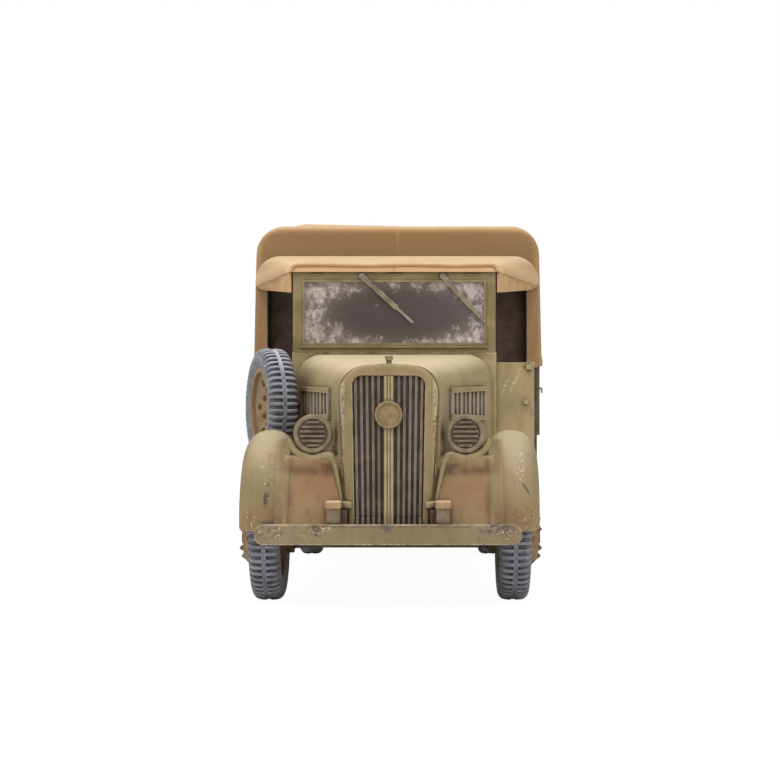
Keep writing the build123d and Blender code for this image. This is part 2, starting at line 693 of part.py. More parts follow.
def shell_outline(plane, slack):
    """Outline of the radiator shell, made larger by slack at its sides and foot."""
    with BuildSketch(plane) as outline:
        with BuildLine():
            Polyline(
                (-SHELL_BOTTOM_HALF - slack, SHELL_BOTTOM_Z - slack),
                (-SHELL_TOP_HALF - slack, SHELL_WAIST_Z),
                (-SHELL_TOP_HALF - slack, SHELL_TOP_Z - SHELL_CROWN),
                (0, SHELL_TOP_Z),
                (SHELL_TOP_HALF + slack, SHELL_TOP_Z - SHELL_CROWN),
                (SHELL_TOP_HALF + slack, SHELL_WAIST_Z),
                (SHELL_BOTTOM_HALF + slack, SHELL_BOTTOM_Z - slack),
                close=True,
            )
        make_face()
        fillet(
            outline.vertices().filter_by_position(
                Axis.Y, SHELL_TOP_Z - 1.5 * SHELL_CROWN, SHELL_TOP_Z - SHELL_CROWN / 2
            ),
            SHELL_CORNER,
        )
    return outline.sketch


def crown_section(plane):
    """Channel section of a mudguard with its two rolled shoulders, crown on the x axis."""
    middle = guard_inner_x + GUARD_WIDTH / 2
    with BuildSketch(plane) as section:
        with Locations((middle, -GUARD_SKIRT / 2)):
            Rectangle(GUARD_WIDTH, GUARD_SKIRT)
        fillet(section.vertices().group_by(Axis.Y)[-1], GUARD_ROLL_RADIUS)
        with BuildSketch(plane, mode=Mode.PRIVATE) as hollow:
            with Locations((middle, -GUARD_SKIRT / 2 - GUARD_WALL)):
                Rectangle(GUARD_WIDTH - 2 * GUARD_WALL, GUARD_SKIRT)
            fillet(hollow.vertices().group_by(Axis.Y)[-1], GUARD_ROLL_RADIUS - GUARD_WALL)
        add(hollow.sketch_local, mode=Mode.SUBTRACT)
    return section.sketch


def ledge_section(plane):
    """Section of the flat strip between bonnet and mudguard, at the ledge's height."""
    with BuildSketch(plane) as section:
        with Locations((0, LEDGE_Z - GUARD_TOP_Z - LEDGE_THICKNESS / 2)):
            Rectangle(2 * ledge_outer_x, LEDGE_THICKNESS)
    return section.sketch


def sweep_rearwards(make_section):
    """Carry a section back over the wheel and straight down to the running board."""
    with BuildPart() as rear:
        revolve(
            make_section(crown_plane), axis=guard_rear_axis, revolution_arc=GUARD_REAR_SWEEP
        )
        extrude(make_section(knee_plane), amount=tail_length, dir=-knee_plane.z_dir)
    return rear.part


with BuildPart() as guard_crown:
    revolve(
        crown_section(crown_plane), axis=guard_front_axis, revolution_arc=GUARD_FRONT_SWEEP
    )
    add(sweep_rearwards(crown_section))

with BuildPart() as lamp_ledge:
    with BuildSketch(Plane.YZ):
        with BuildLine():
            Polyline(
                (guard_y, LEDGE_Z),
                (behind(LEDGE_FRONT_BEHIND), LEDGE_Z),
                (behind(LEDGE_FRONT_BEHIND), LEDGE_Z - 2 * LEDGE_ROLL_RADIUS),
                (behind(APRON_TOP_BEHIND), LEDGE_Z - 2 * LEDGE_ROLL_RADIUS),
                (behind(APRON_FOOT_BEHIND), APRON_FOOT_Z),
                (behind(APRON_FOOT_BEHIND) + APRON_WALL, APRON_FOOT_Z),
                (behind(APRON_TOP_BEHIND) + APRON_WALL, LEDGE_Z - LEDGE_THICKNESS),
                (guard_y, LEDGE_Z - LEDGE_THICKNESS),
                close=True,
            )
        make_face()
        with Locations((behind(LEDGE_FRONT_BEHIND), LEDGE_Z - LEDGE_ROLL_RADIUS)):
            Circle(LEDGE_ROLL_RADIUS)
    extrude(amount=ledge_outer_x)
    add(sweep_rearwards(ledge_section))
    # only what lies outside the bonnet and the radiator shell stays
    extrude(
        shell_outline(Plane.XZ.offset(-behind(APRON_FOOT_BEHIND) + 1), SEAT_GAP),
        amount=bonnet_front_y - behind(APRON_FOOT_BEHIND) + 1,
        dir=(0, 1, 0),
        mode=Mode.SUBTRACT,
    )
    with BuildSketch(Plane.XY):
        with BuildLine():
            Polyline(
                (SHELL_BOTTOM_HALF, behind(APRON_FOOT_BEHIND) - 1),
                (SHELL_BOTTOM_HALF, bonnet_front_y),
                (BONNET_FRONT_HALF - VALANCE_WALL / 2, bonnet_front_y),
                (BONNET_REAR_HALF - VALANCE_WALL / 2, bonnet_rear_y),
                (GUARD_OUTER_X, bonnet_rear_y),
                (GUARD_OUTER_X, behind(APRON_FOOT_BEHIND) - 1),
                close=True,
            )
        make_face()
    extrude(amount=GUARD_TOP_Z, mode=Mode.INTERSECT)

with BuildPart() as engine_valance:
    with BuildSketch(Plane.XY.offset(rail_top_z + SEAT_GAP)):
        with BuildLine():
            Polyline(
                (BONNET_FRONT_HALF, bonnet_front_y),
                (BONNET_REAR_HALF, bonnet_rear_y),
                (BONNET_REAR_HALF - VALANCE_WALL, bonnet_rear_y),
                (BONNET_FRONT_HALF - VALANCE_WALL, bonnet_front_y),
                close=True,
            )
        make_face()
    extrude(amount=LEDGE_Z - rail_top_z - SEAT_GAP)

with BuildPart() as front_mudguard:
    add(guard_crown.part)
    add(lamp_ledge.part)
    add(engine_valance.part)
    # the dumb iron comes through the apron, and the tail ends level on the running board
    notch_height = rail_top_z + SEAT_GAP - APRON_FOOT_Z + 1
    with Locations((rail_x, behind(APRON_FOOT_BEHIND), APRON_FOOT_Z - 1 + notch_height / 2)):
        Box(RAIL_WIDTH + 2 * SEAT_GAP, FRONT_OVERHANG, notch_height, mode=Mode.SUBTRACT)
    with Locations((GUARD_OUTER_X, behind(CAB_FRONT_BEHIND), GUARD_TAIL_Z)):
        Box(
            2 * GUARD_OUTER_X,
            2 * (CAB_FRONT_BEHIND - VALANCE_END),
            2 * GUARD_TOP_Z,
            align=(Align.CENTER, Align.CENTER, Align.MAX),
            mode=Mode.SUBTRACT,
        )
write_piece(front_mudguard.part, "front_mudguard_left")
write_piece(mirror(front_mudguard.part, about=Plane.YZ), "front_mudguard_right")

# ---- Radiator shell ---------------------------------------------------------------------
shell_front_y = behind(SHELL_FRONT_BEHIND)
shell_front = Plane.XZ.offset(-shell_front_y)
grille_floor_y = shell_front_y + GRILLE_RECESS
grille_back_y = grille_floor_y + GRILLE_BACK_WALL


def grille_opening(plane, slack):
    """Outline of the grille opening, made smaller all round by slack."""
    with BuildSketch(plane) as opening:
        with BuildLine():
            Polyline(
                (-GRILLE_BOTTOM_HALF + slack, GRILLE_BOTTOM_Z + slack),
                (-GRILLE_TOP_HALF + slack, GRILLE_TOP_Z - slack),
                (GRILLE_TOP_HALF - slack, GRILLE_TOP_Z - slack),
                (GRILLE_BOTTOM_HALF - slack, GRILLE_BOTTOM_Z + slack),
                close=True,
            )
        make_face()
        fillet(opening.vertices().group_by(Axis.Y)[-1], GRILLE_CORNER)
    return opening.sketch


core_bottom_z = RAIL_BOTTOM + CROSSMEMBER_HEIGHT + 0.4 + SEAT_GAP
with BuildPart() as radiator_shell:
    extrude(shell_outline(shell_front, 0), amount=SHELL_DEPTH, dir=(0, 1, 0))
    fillet(radiator_shell.faces().sort_by(Axis.Y)[0].edges(), SHELL_EDGE_RADIUS)
    extrude(
        grille_opening(shell_front, 0), amount=SHELL_DEPTH, dir=(0, 1, 0), mode=Mode.SUBTRACT
    )
    # core behind the shell, which closes the view past the grille
    with Locations((0, shell_front_y + SHELL_DEPTH - CORE_LAP, core_bottom_z)):
        Box(
            2 * CORE_HALF,
            CORE_DEPTH,
            CORE_TOP_Z - core_bottom_z,
            align=(Align.CENTER, Align.MIN, Align.MIN),
        )
    # filler neck and cap on top
    with BuildSketch(Plane.XY.offset(SHELL_TOP_Z - FILLER_HEIGHT / 2)):
        with Locations((0, shell_front_y + SHELL_DEPTH / 2)):
            Circle(FILLER_RADIUS * 0.7)
    extrude(amount=FILLER_HEIGHT)
    with BuildSketch(Plane.XY.offset(SHELL_TOP_Z + FILLER_HEIGHT / 2)):
        with Locations((0, shell_front_y + SHELL_DEPTH / 2)):
            Circle(FILLER_RADIUS)
    extrude(amount=FILLER_HEIGHT / 2)
write_piece(radiator_shell.part, "radiator_shell")

# ---- Radiator grille: backing plate, ribs, broad centre bar and bare badge disc ---------
rib_pitch = (GRILLE_TOP_HALF - GRILLE_BAR_WIDTH / 2) / (GRILLE_RIBS_PER_SIDE + 0.5)
bar_front_y = shell_front_y - 0.1

with BuildPart() as radiator_grille:
    extrude(
        grille_opening(Plane.XZ.offset(-grille_floor_y), SEAT_GAP),
        amount=GRILLE_BACK_WALL,
        dir=(0, 1, 0),
    )
    for side in (-1, 1):
        for rib in range(GRILLE_RIBS_PER_SIDE):
            foot_x = GRILLE_BAR_WIDTH / 2 + (rib + 0.75) * rib_pitch
            lean = foot_x * (1 - GRILLE_BOTTOM_HALF / GRILLE_TOP_HALF)
            with BuildSketch(Plane.XZ.offset(-grille_floor_y)):
                with BuildLine():
                    Polyline(
                        (side * (foot_x - lean), GRILLE_BOTTOM_Z + 2 * SEAT_GAP),
                        (side * foot_x, GRILLE_TOP_Z - 2 * SEAT_GAP),
                        (side * (foot_x + GRILLE_RIB_WIDTH), GRILLE_TOP_Z - 2 * SEAT_GAP),
                        (side * (foot_x + GRILLE_RIB_WIDTH - lean), GRILLE_BOTTOM_Z + 2 * SEAT_GAP),
                        close=True,
                    )
                make_face()
            extrude(amount=GRILLE_RIB_HEIGHT)
    with BuildSketch(Plane.XZ.offset(-grille_floor_y)):
        with Locations((0, (GRILLE_TOP_Z + GRILLE_BOTTOM_Z) / 2)):
            Rectangle(GRILLE_BAR_WIDTH, GRILLE_TOP_Z - GRILLE_BOTTOM_Z - 2 * SEAT_GAP)
    extrude(amount=grille_floor_y - bar_front_y)
    with BuildSketch(Plane.XZ.offset(-bar_front_y)):
        with Locations((0, BADGE_Z)):
            Circle(BADGE_RADIUS)
    extrude(amount=BADGE_RIM * 2)
    with BuildSketch(Plane.XZ.offset(-bar_front_y + BADGE_RIM * 2)):
        with Locations((0, BADGE_Z)):
            Circle(BADGE_RADIUS - BADGE_RIM)
    extrude(amount=-BADGE_RIM, mode=Mode.SUBTRACT)
    # the outer ribs stop inside the rounded corners of the opening
    extrude(
        grille_opening(Plane.XZ.offset(-grille_back_y), SEAT_GAP),
        amount=grille_back_y - shell_front_y + 2,
        dir=(0, -1, 0),
        mode=Mode.INTERSECT,
    )
write_piece(radiator_grille.part, "radiator_grille")

# ---- Bonnet -----------------------------------------------------------------------------
bonnet_length = bonnet_rear_y - bonnet_front_y
bonnet_bottom_z = LEDGE_Z + SEAT_GAP
bonnet_front_top_z = SHELL_TOP_Z - 0.15


def bonnet_section(y, half, top_z, corner, wall, drop):
    """Section of the bonnet, moved inward by wall and extended down by drop."""
    with BuildSketch(Plane.XZ.offset(-y)) as section:
        foot_z = bonnet_bottom_z - drop
        with Locations((0, (top_z - wall + foot_z) / 2)):
            Rectangle(2 * (half - wall), top_z - wall - foot_z)
        fillet(section.vertices().group_by(Axis.Y)[-1], corner - wall)
    return section.sketch


side_direction = Vector(bonnet_spread, 1, 0).normalized()
# the louvres start inside the bonnet's wall, so that they and the wall are one solid
louvre_root = BONNET_WALL / 2
louvre_plane = Plane(
    origin=(BONNET_FRONT_HALF, bonnet_front_y, 0),
    x_dir=side_direction,
    z_dir=side_direction.cross(Vector(0, 0, 1)),
).offset(-louvre_root)
louvre_band_length = LOUVRE_PITCH * (LOUVRE_COUNT - 1) + LOUVRE_WIDTH
louvre_band_end = LOUVRE_BAND_START + louvre_band_length

with BuildPart() as bonnet_side_louvres:
    with BuildSketch(louvre_plane):
        for louvre in range(LOUVRE_COUNT):
            along = LOUVRE_BAND_START + louvre * LOUVRE_PITCH
            share = louvre / (LOUVRE_COUNT - 1)
            top_z = LOUVRE_TOP_FRONT_Z + share * (LOUVRE_TOP_REAR_Z - LOUVRE_TOP_FRONT_Z)
            # each louvre ends within the rails above and below it
            louvre_length = top_z - LOUVRE_FOOT_Z + LOUVRE_RAIL
            louvre_width = LOUVRE_WIDTH * (1 if louvre % 2 == 0 else LOUVRE_NARROW)
            with Locations((along + LOUVRE_WIDTH / 2, LOUVRE_FOOT_Z - LOUVRE_RAIL / 2)):
                Rectangle(louvre_width, louvre_length, align=(Align.CENTER, Align.MIN))
    extrude(amount=louvre_root + LOUVRE_HEIGHT)
    with BuildSketch(louvre_plane):
        with BuildLine():
            Polyline(
                (LOUVRE_BAND_START, LOUVRE_TOP_FRONT_Z),
                (louvre_band_end, LOUVRE_TOP_REAR_Z),
                (louvre_band_end, LOUVRE_TOP_REAR_Z + LOUVRE_RAIL),
                (LOUVRE_BAND_START, LOUVRE_TOP_FRONT_Z + LOUVRE_RAIL),
                close=True,
            )
        make_face()
        with Locations((LOUVRE_BAND_START, LOUVRE_FOOT_Z)):
            Rectangle(louvre_band_length, LOUVRE_RAIL, align=(Align.MIN, Align.MAX))
    extrude(amount=louvre_root + LOUVRE_HEIGHT * 1.4)


def bonnet_form(wall, drop):
    """The bonnet's front and rear sections, ready to be joined by a ruled loft."""
    return [
        bonnet_section(
            bonnet_front_y, BONNET_FRONT_HALF, bonnet_front_top_z, BONNET_FRONT_CORNER, wall, drop
        ),
        bonnet_section(
            bonnet_rear_y, BONNET_REAR_HALF, BONNET_REAR_TOP_Z, BONNET_REAR_CORNER, wall, drop
        ),
    ]


with BuildPart() as bonnet:
    loft(bonnet_form(0, 0), ruled=True)
    add(bonnet_side_louvres.part)
    add(mirror(bonnet_side_louvres.part, about=Plane.YZ, mode=Mode.PRIVATE))
    loft(bonnet_form(BONNET_WALL, 1), ruled=True, mode=Mode.SUBTRACT)
write_piece(bonnet.part, "bonnet")

# ---- Engine and gearbox, one plain block ------------------------------------------------
gearbox_front_y = behind(ENGINE_BEHIND) + ENGINE_LENGTH / 2 - 0.5
gearbox_top_z = rail_top_z - 0.1
with BuildPart() as engine:
    with Locations((0, behind(ENGINE_BEHIND), RAIL_BOTTOM - ENGINE_DROP)):
        Box(
            ENGINE_WIDTH,
            ENGINE_LENGTH,
            ENGINE_HEIGHT,
            align=(Align.CENTER, Align.CENTER, Align.MIN),
        )
    with Locations((0, gearbox_front_y, gearbox_top_z)):
        Box(
            GEARBOX_WIDTH,
            GEARBOX_LENGTH,
            GEARBOX_HEIGHT,
            align=(Align.CENTER, Align.MIN, Align.MAX),
        )
write_piece(engine.part, "engine_gearbox")

# ---- Headlamps --------------------------------------------------------------------------
lamp_front_y = behind(LAMP_BEHIND)
lamp_bowl_middle = LAMP_RIM_DEPTH + (LAMP_DEPTH - LAMP_RIM_DEPTH) * 0.68


def lamp_plane(side):
    """Profile plane of a lamp: x is its radius, y runs back along its axis."""
    return Plane(origin=(side * LAMP_X, lamp_front_y, LAMP_Z), x_dir=(1, 0, 0), z_dir=(0, 0, 1))


for lamp_name, side in (("left", 1), ("right", -1)):
    with BuildPart() as headlight:
        with BuildSketch(lamp_plane(side)):
            with BuildLine():
                Polyline(
                    (0, LAMP_RECESS + LAMP_COVER_WALL),
                    (LAMP_OPENING, LAMP_RECESS + LAMP_COVER_WALL),
                    (LAMP_OPENING, LAMP_RIM_DEPTH * 0.2),
                    (LAMP_OPENING + 0.12, 0),
                    (LAMP_RADIUS - 0.15, 0),
                    (LAMP_RADIUS, LAMP_RIM_DEPTH * 0.25),
                    (LAMP_RADIUS, LAMP_RIM_DEPTH),
                    (LAMP_RADIUS - 0.2, LAMP_RIM_DEPTH),
                )
                ThreePointArc(
                    (LAMP_RADIUS - 0.2, LAMP_RIM_DEPTH),
                    ((LAMP_RADIUS - 0.2) * 0.72, lamp_bowl_middle),
                    (0, LAMP_DEPTH),
                )
                Line((0, LAMP_DEPTH), (0, LAMP_RECESS + LAMP_COVER_WALL))
            make_face()
        revolve(axis=Axis((side * LAMP_X, lamp_front_y, LAMP_Z), (0, 1, 0)))
        with BuildSketch(Plane.XY.offset(LEDGE_Z + SEAT_GAP)):
            with Locations((side * LAMP_X, lamp_front_y + LAMP_DEPTH / 2)):
                Circle(LAMP_STALK_RADIUS)
        extrude(amount=LAMP_Z - LEDGE_Z - LAMP_RADIUS * 0.6)
    write_piece(headlight.part, f"headlight_{lamp_name}")

with BuildPart() as headlight_covers:
    for side in (-1, 1):
        with BuildSketch(Plane.XZ.offset(-lamp_front_y - LAMP_RECESS)):
            with Locations((side * LAMP_X, LAMP_Z)):
                Circle(LAMP_OPENING - SEAT_GAP)
        extrude(amount=-LAMP_COVER_WALL + SEAT_GAP)
        for slat in range(LAMP_SLATS):
            up = (slat - (LAMP_SLATS - 1) / 2) * LAMP_SLAT_PITCH
            half = math.sqrt((LAMP_OPENING - 0.1) ** 2 - up**2) - 0.05
            with BuildSketch(Plane.XZ.offset(-lamp_front_y - LAMP_RECESS)):
                with Locations((side * LAMP_X, LAMP_Z + up)):
                    Rectangle(2 * half, LAMP_SLAT_PITCH * 0.5)
            extrude(amount=LAMP_RECESS * 0.75)
write_piece(headlight_covers.part, "headlight_covers")

# ---- Scuttle: firewall, cowl and the cab's two front wings ------------------------------
with BuildPart() as scuttle:
    with BuildSketch(Plane.XY.offset(rail_top_z + SEAT_GAP)):
        with Locations((0, (scuttle_front_y + cab_front_y + SCUTTLE_WALL) / 2)):
            Rectangle(2 * SCUTTLE_HALF, cab_front_y + SCUTTLE_WALL - scuttle_front_y)
    extrude(amount=SCUTTLE_TOP_Z - rail_top_z - SEAT_GAP)
    with Locations((0, cab_front_y + SCUTTLE_WALL / 2, rail_top_z + SEAT_GAP)):
        Box(
            2 * CAB_HALF,
            SCUTTLE_WALL,
            CAB_SIDE_TOP_Z - rail_top_z - SEAT_GAP,
            align=(Align.CENTER, Align.CENTER, Align.MIN),
        )
    with Locations((0, scuttle_front_y + SCUTTLE_WALL, SCUTTLE_TOP_Z - SCUTTLE_WALL)):
        Box(
            2 * (SCUTTLE_HALF - SCUTTLE_WALL),
            cab_front_y - scuttle_front_y + SCUTTLE_WALL,
            SCUTTLE_TOP_Z,
            align=(Align.CENTER, Align.MIN, Align.MAX),
            mode=Mode.SUBTRACT,
        )
    for side in (-1, 1):
        with BuildSketch(Plane.XZ.offset(-cab_front_y)):
            with Locations((side * (CAB_HALF - PEG_IN), CAB_SIDE_TOP_Z - PEG_DROP)):
                Circle(PEG_RADIUS)
            with Locations((side * (CAB_HALF - CLIP_WIDTH), CAB_SIDE_TOP_Z - CLIP_HEIGHT)):
                Rectangle(CLIP_WIDTH, CLIP_HEIGHT)
        extrude(amount=0.8)
write_piece(scuttle.part, "scuttle")

# ---- Windscreen: frame, clear pane and two wipers ---------------------------------------
screen_front_y = scuttle_front_y
screen_back_y = screen_front_y + WINDSCREEN_DEPTH
screen_middle_z = (screen_bottom_z + screen_top_z) / 2
pane_half = WINDSCREEN_HALF - WINDSCREEN_SIDE_BAR
pane_bottom_z = screen_bottom_z + WINDSCREEN_BOTTOM_BAR
pane_top_z = screen_top_z - WINDSCREEN_TOP_BAR
pane_middle_z = (pane_bottom_z + pane_top_z) / 2

with BuildPart() as windscreen_frame:
    with BuildSketch(Plane.XZ.offset(-screen_back_y)):
        with Locations((0, screen_middle_z)):
            Rectangle(2 * WINDSCREEN_HALF, WINDSCREEN_HEIGHT)
        with Locations((0, pane_middle_z)):
            Rectangle(2 * pane_half, pane_top_z - pane_bottom_z, mode=Mode.SUBTRACT)
    extrude(amount=WINDSCREEN_DEPTH)
write_piece(windscreen_frame.part, "windscreen_frame")

pane_front_y = screen_front_y + GLASS_RECESS
with BuildPart() as windscreen_glass:
    with BuildSketch(Plane.XZ.offset(-pane_front_y)):
        with Locations((0, pane_middle_z)):
            Rectangle(2 * (pane_half - SEAT_GAP), pane_top_z - pane_bottom_z - 2 * SEAT_GAP)
    extrude(amount=-GLASS_THICKNESS)
write_piece(windscreen_glass.part, "windscreen_glass")

WIPERS = [
    # pivot x, tip x, height of the tip under the top of the pane
    (-4.0, 2.33, 5.2),
    (6.04, 11.25, 5.2),
]
with BuildPart() as wipers:
    for pivot_x, tip_x, tip_drop in WIPERS:
        pivot = Vector(pivot_x, screen_top_z - WIPER_PIVOT_DROP)
        tip = Vector(tip_x, pane_top_z - tip_drop)
        bar_end = pivot + (tip - pivot) * WIPER_BAR_SHARE
        with BuildSketch(Plane.XZ.offset(-screen_front_y + SEAT_GAP)):
            with BuildLine():
                Line(pivot, bar_end)
            trace(line_width=WIPER_WIDTH)
            with BuildLine():
                Line(bar_end, tip)
            trace(line_width=WIPER_BLADE_WIDTH)
            with Locations(pivot):
                Circle(WIPER_WIDTH * 0.6)
        extrude(amount=WIPER_THICKNESS)
write_piece(wipers.part, "wipers")

# ---- Cab floor, sides and back ----------------------------------------------------------
cab_inner_y = cab_front_y + SCUTTLE_WALL + SEAT_GAP
cab_back_y = cab_rear_y - CAB_WALL - SEAT_GAP
with BuildPart() as cab_floor:
    with Locations((0, (cab_inner_y + cab_back_y) / 2, rail_top_z + SEAT_GAP)):
        Box(
            2 * (CAB_HALF - CAB_WALL - SEAT_GAP),
            cab_back_y - cab_inner_y,
            CAB_FLOOR_THICKNESS,
            align=(Align.CENTER, Align.CENTER, Align.MIN),
        )
write_piece(cab_floor.part, "cab_floor")

side_length = cab_back_y - cab_inner_y
side_foot_z = RAIL_BOTTOM + 0.5
SIDE_OUTLINE = [
    # share of the length, height
    (0.0, side_foot_z),
    (1.0, side_foot_z),
    (1.0, CAB_SIDE_TOP_Z),
    (0.88, CAB_SIDE_TOP_Z),
    (0.74, CAB_SIDE_LOW_Z),
    (0.28, CAB_SIDE_LOW_Z),
    (0.14, CAB_SIDE_TOP_Z),
    (0.0, CAB_SIDE_TOP_Z),
]
side_points = [(cab_inner_y + share * side_length, height) for share, height in SIDE_OUTLINE]
for side_name, side in (("left", 1), ("right", -1)):
    with BuildPart() as cab_side:
        with BuildSketch(Plane.YZ.offset(side * (CAB_HALF - CAB_WALL))) as side_outline:
            Polygon(*side_points, align=None)
            scoop_corners = side_outline.vertices().filter_by_position(
                Axis.X, cab_inner_y + CAB_SIDE_CORNER / 2, cab_back_y - CAB_SIDE_CORNER / 2
            )
            fillet(scoop_corners, CAB_SIDE_CORNER)
        extrude(amount=side * CAB_WALL)
    write_piece(cab_side.part, f"cab_side_{side_name}")

with BuildPart() as cab_back:
    with Locations((0, cab_rear_y, rail_top_z + SEAT_GAP)):
        Box(
            2 * HOOD_REAR_HALF,
            CAB_WALL,
            CAB_SIDE_TOP_Z - rail_top_z - SEAT_GAP,
            align=(Align.CENTER, Align.MAX, Align.MIN),
        )
write_piece(cab_back.part, "cab_back")

# ---- Inside the cab ---------------------------------------------------------------------
with BuildPart() as dashboard:
    with Locations((0, cab_inner_y, SCUTTLE_TOP_Z - SCUTTLE_WALL - SEAT_GAP)):
        Box(
            2 * (SCUTTLE_HALF - SCUTTLE_WALL - SEAT_GAP),
            DASH_THICKNESS,
            DASH_HEIGHT,
            align=(Align.CENTER, Align.MAX, Align.MAX),
        )
    with BuildSketch(Plane.XZ.offset(-cab_inner_y)):
        dial_z = SCUTTLE_TOP_Z - DIAL_DROP
        with Locations((-DIAL_X, dial_z), (DIAL_X, dial_z)):
            Circle(DIAL_RADIUS)
    extrude(amount=-DIAL_RELIEF)
write_piece(dashboard.part, "dashboard")

column_top = Vector(STEERING_X, behind(CAB_FRONT_BEHIND + COLUMN_TOP_BACK), COLUMN_TOP_Z)
column_foot = Vector(STEERING_X, cab_inner_y + COLUMN_FOOT_BACK, cab_floor_z + SEAT_GAP)
column_axis = (column_top - column_foot).normalized()
rim_plane = Plane(origin=column_top, x_dir=(1, 0, 0), z_dir=column_axis)
column_start = column_foot + column_axis * COLUMN_CLEARANCE
with BuildPart() as steering_wheel:
    with BuildSketch(Plane(origin=column_start, x_dir=(1, 0, 0), z_dir=column_axis)):
        Circle(COLUMN_RADIUS)
    extrude(amount=(column_top - column_start).length)
    with BuildSketch(rim_plane):
        Circle(STEERING_WHEEL_RADIUS)
        Circle(STEERING_WHEEL_RADIUS - 2 * STEERING_RIM_RADIUS, mode=Mode.SUBTRACT)
        with PolarLocations(0, STEERING_SPOKES, start_angle=90):
            with Locations((STEERING_WHEEL_RADIUS / 2, 0)):
                Rectangle(STEERING_WHEEL_RADIUS, COLUMN_RADIUS)
        Circle(STEERING_BOSS_RADIUS)
    extrude(amount=-2 * STEERING_RIM_RADIUS)
write_piece(steering_wheel.part, "steering_wheel")

with BuildPart() as seats:
    for side in (-1, 1):
        seat_x = side * SEAT_SPACING / 2
        seat_rear_y = cab_back_y - SEAT_REAR_GAP
        with Locations((seat_x, seat_rear_y, cab_floor_z + SEAT_GAP)):
            Box(
                SEAT_WIDTH,
                SEAT_LENGTH,
                SEAT_BASE_HEIGHT + SEAT_CUSHION,
                align=(Align.CENTER, Align.MAX, Align.MIN),
            )
            Box(
                SEAT_WIDTH,
                SEAT_BACK_THICKNESS,
                SEAT_BASE_HEIGHT + SEAT_CUSHION + SEAT_BACK_HEIGHT,
                align=(Align.CENTER, Align.MAX, Align.MIN),
            )
    fillet(seats.edges().filter_by(Axis.X), SEAT_EDGE_RADIUS)
write_piece(seats.part, "seats")

LEVERS = [
    # x, top z
    (0.6, 18.6),
    (-1.6, 16.8),
]
lever_y = cab_inner_y + LEVER_BACK
with BuildPart() as gear_levers:
    for lever_x, lever_top in LEVERS:
        with BuildSketch(Plane.XY.offset(cab_floor_z + SEAT_GAP)):
            with Locations((lever_x, lever_y)):
                Circle(LEVER_RADIUS)
        extrude(amount=lever_top - cab_floor_z - SEAT_GAP)
        with Locations((lever_x, lever_y, lever_top)):
            Sphere(2 * LEVER_RADIUS)
write_piece(gear_levers.part, "gear_levers")

# ---- Cab hood: hard moulded canvas, wider towards the rear ------------------------------
hood_front_y = screen_front_y - 0.5
hood_full_y = behind(HOOD_FULL_BEHIND)


def hood_section(y, half, top_z, corner, wall, drop):
    """Section of the hood, moved inward by wall and extended down by drop."""
    with BuildSketch(Plane.XZ.offset(-y)) as section:
        foot_z = hood_bottom_z - drop
        with Locations((0, (top_z - wall + foot_z) / 2)):
            Rectangle(2 * (half - wall), top_z - wall - foot_z)
        if corner > wall:
            fillet(section.vertices().group_by(Axis.Y)[-1], corner - wall)
    return section.sketch


def hood_form(wall, drop):
    """The hood's full form, from the header over the windscreen to its rear wall."""
    front_corner = (HOOD_FRONT_TOP_Z - hood_bottom_z) * 0.8
    full = hood_section(hood_full_y, HOOD_REAR_HALF, HOOD_REAR_TOP_Z, HOOD_CORNER, wall, drop)
    with BuildPart() as form:
        loft(
            [
                hood_section(
                    hood_front_y, HOOD_FRONT_HALF, HOOD_FRONT_TOP_Z, front_corner, wall, drop
                ),
                full,
            ],
            ruled=True,
        )
        extrude(full, amount=cab_rear_y - hood_full_y - wall, dir=(0, 1, 0))
    return form.part


with BuildPart() as hood_inside:
    add(hood_form(HOOD_WALL, HOOD_CORNER))
    with Locations((0, hood_front_y + HOOD_HEADER, 0)):
        Box(
            2 * HOOD_REAR_HALF,
            2 * HOOD_REAR_HALF,
            2 * HOOD_REAR_TOP_Z,
            align=(Align.CENTER, Align.MIN, Align.MIN),
            mode=Mode.INTERSECT,
        )

hood_depth_y = cab_rear_y - hood_full_y
with BuildPart() as cab_hood:
    add(hood_form(0, 0))
    add(hood_inside.part, mode=Mode.SUBTRACT)
    # rear wall and legs down to the cab's sides
    with BuildSketch(Plane.XY.offset(CAB_SIDE_TOP_Z + SEAT_GAP)):
        with Locations((0, cab_rear_y)):
            Rectangle(2 * HOOD_REAR_HALF, hood_depth_y, align=(Align.CENTER, Align.MAX))
        with Locations((0, cab_rear_y - HOOD_WALL)):
            Rectangle(
                2 * (HOOD_REAR_HALF - HOOD_LEG),
                hood_depth_y,
                align=(Align.CENTER, Align.MAX),
                mode=Mode.SUBTRACT,
            )
    extrude(amount=HOOD_REAR_TOP_Z - HOOD_CORNER - CAB_SIDE_TOP_Z)
write_piece(cab_hood.part, "cab_hood")

# ---- Cargo floor on its cross bearers and two long bearers ------------------------------
body_length = body_rear_y - body_front_y
board_inner_x = BODY_HALF - STAKE_THICKNESS - BOARD_THICKNESS
long_bearer_start_y = kick_end_y + BEARER_START
bearer_pitch = (body_length - 2 * BOARD_THICKNESS - CROSS_BEARER_DEPTH) / (CROSS_BEARERS - 1)
first_bearer_y = body_front_y + BOARD_THICKNESS + CROSS_BEARER_DEPTH / 2

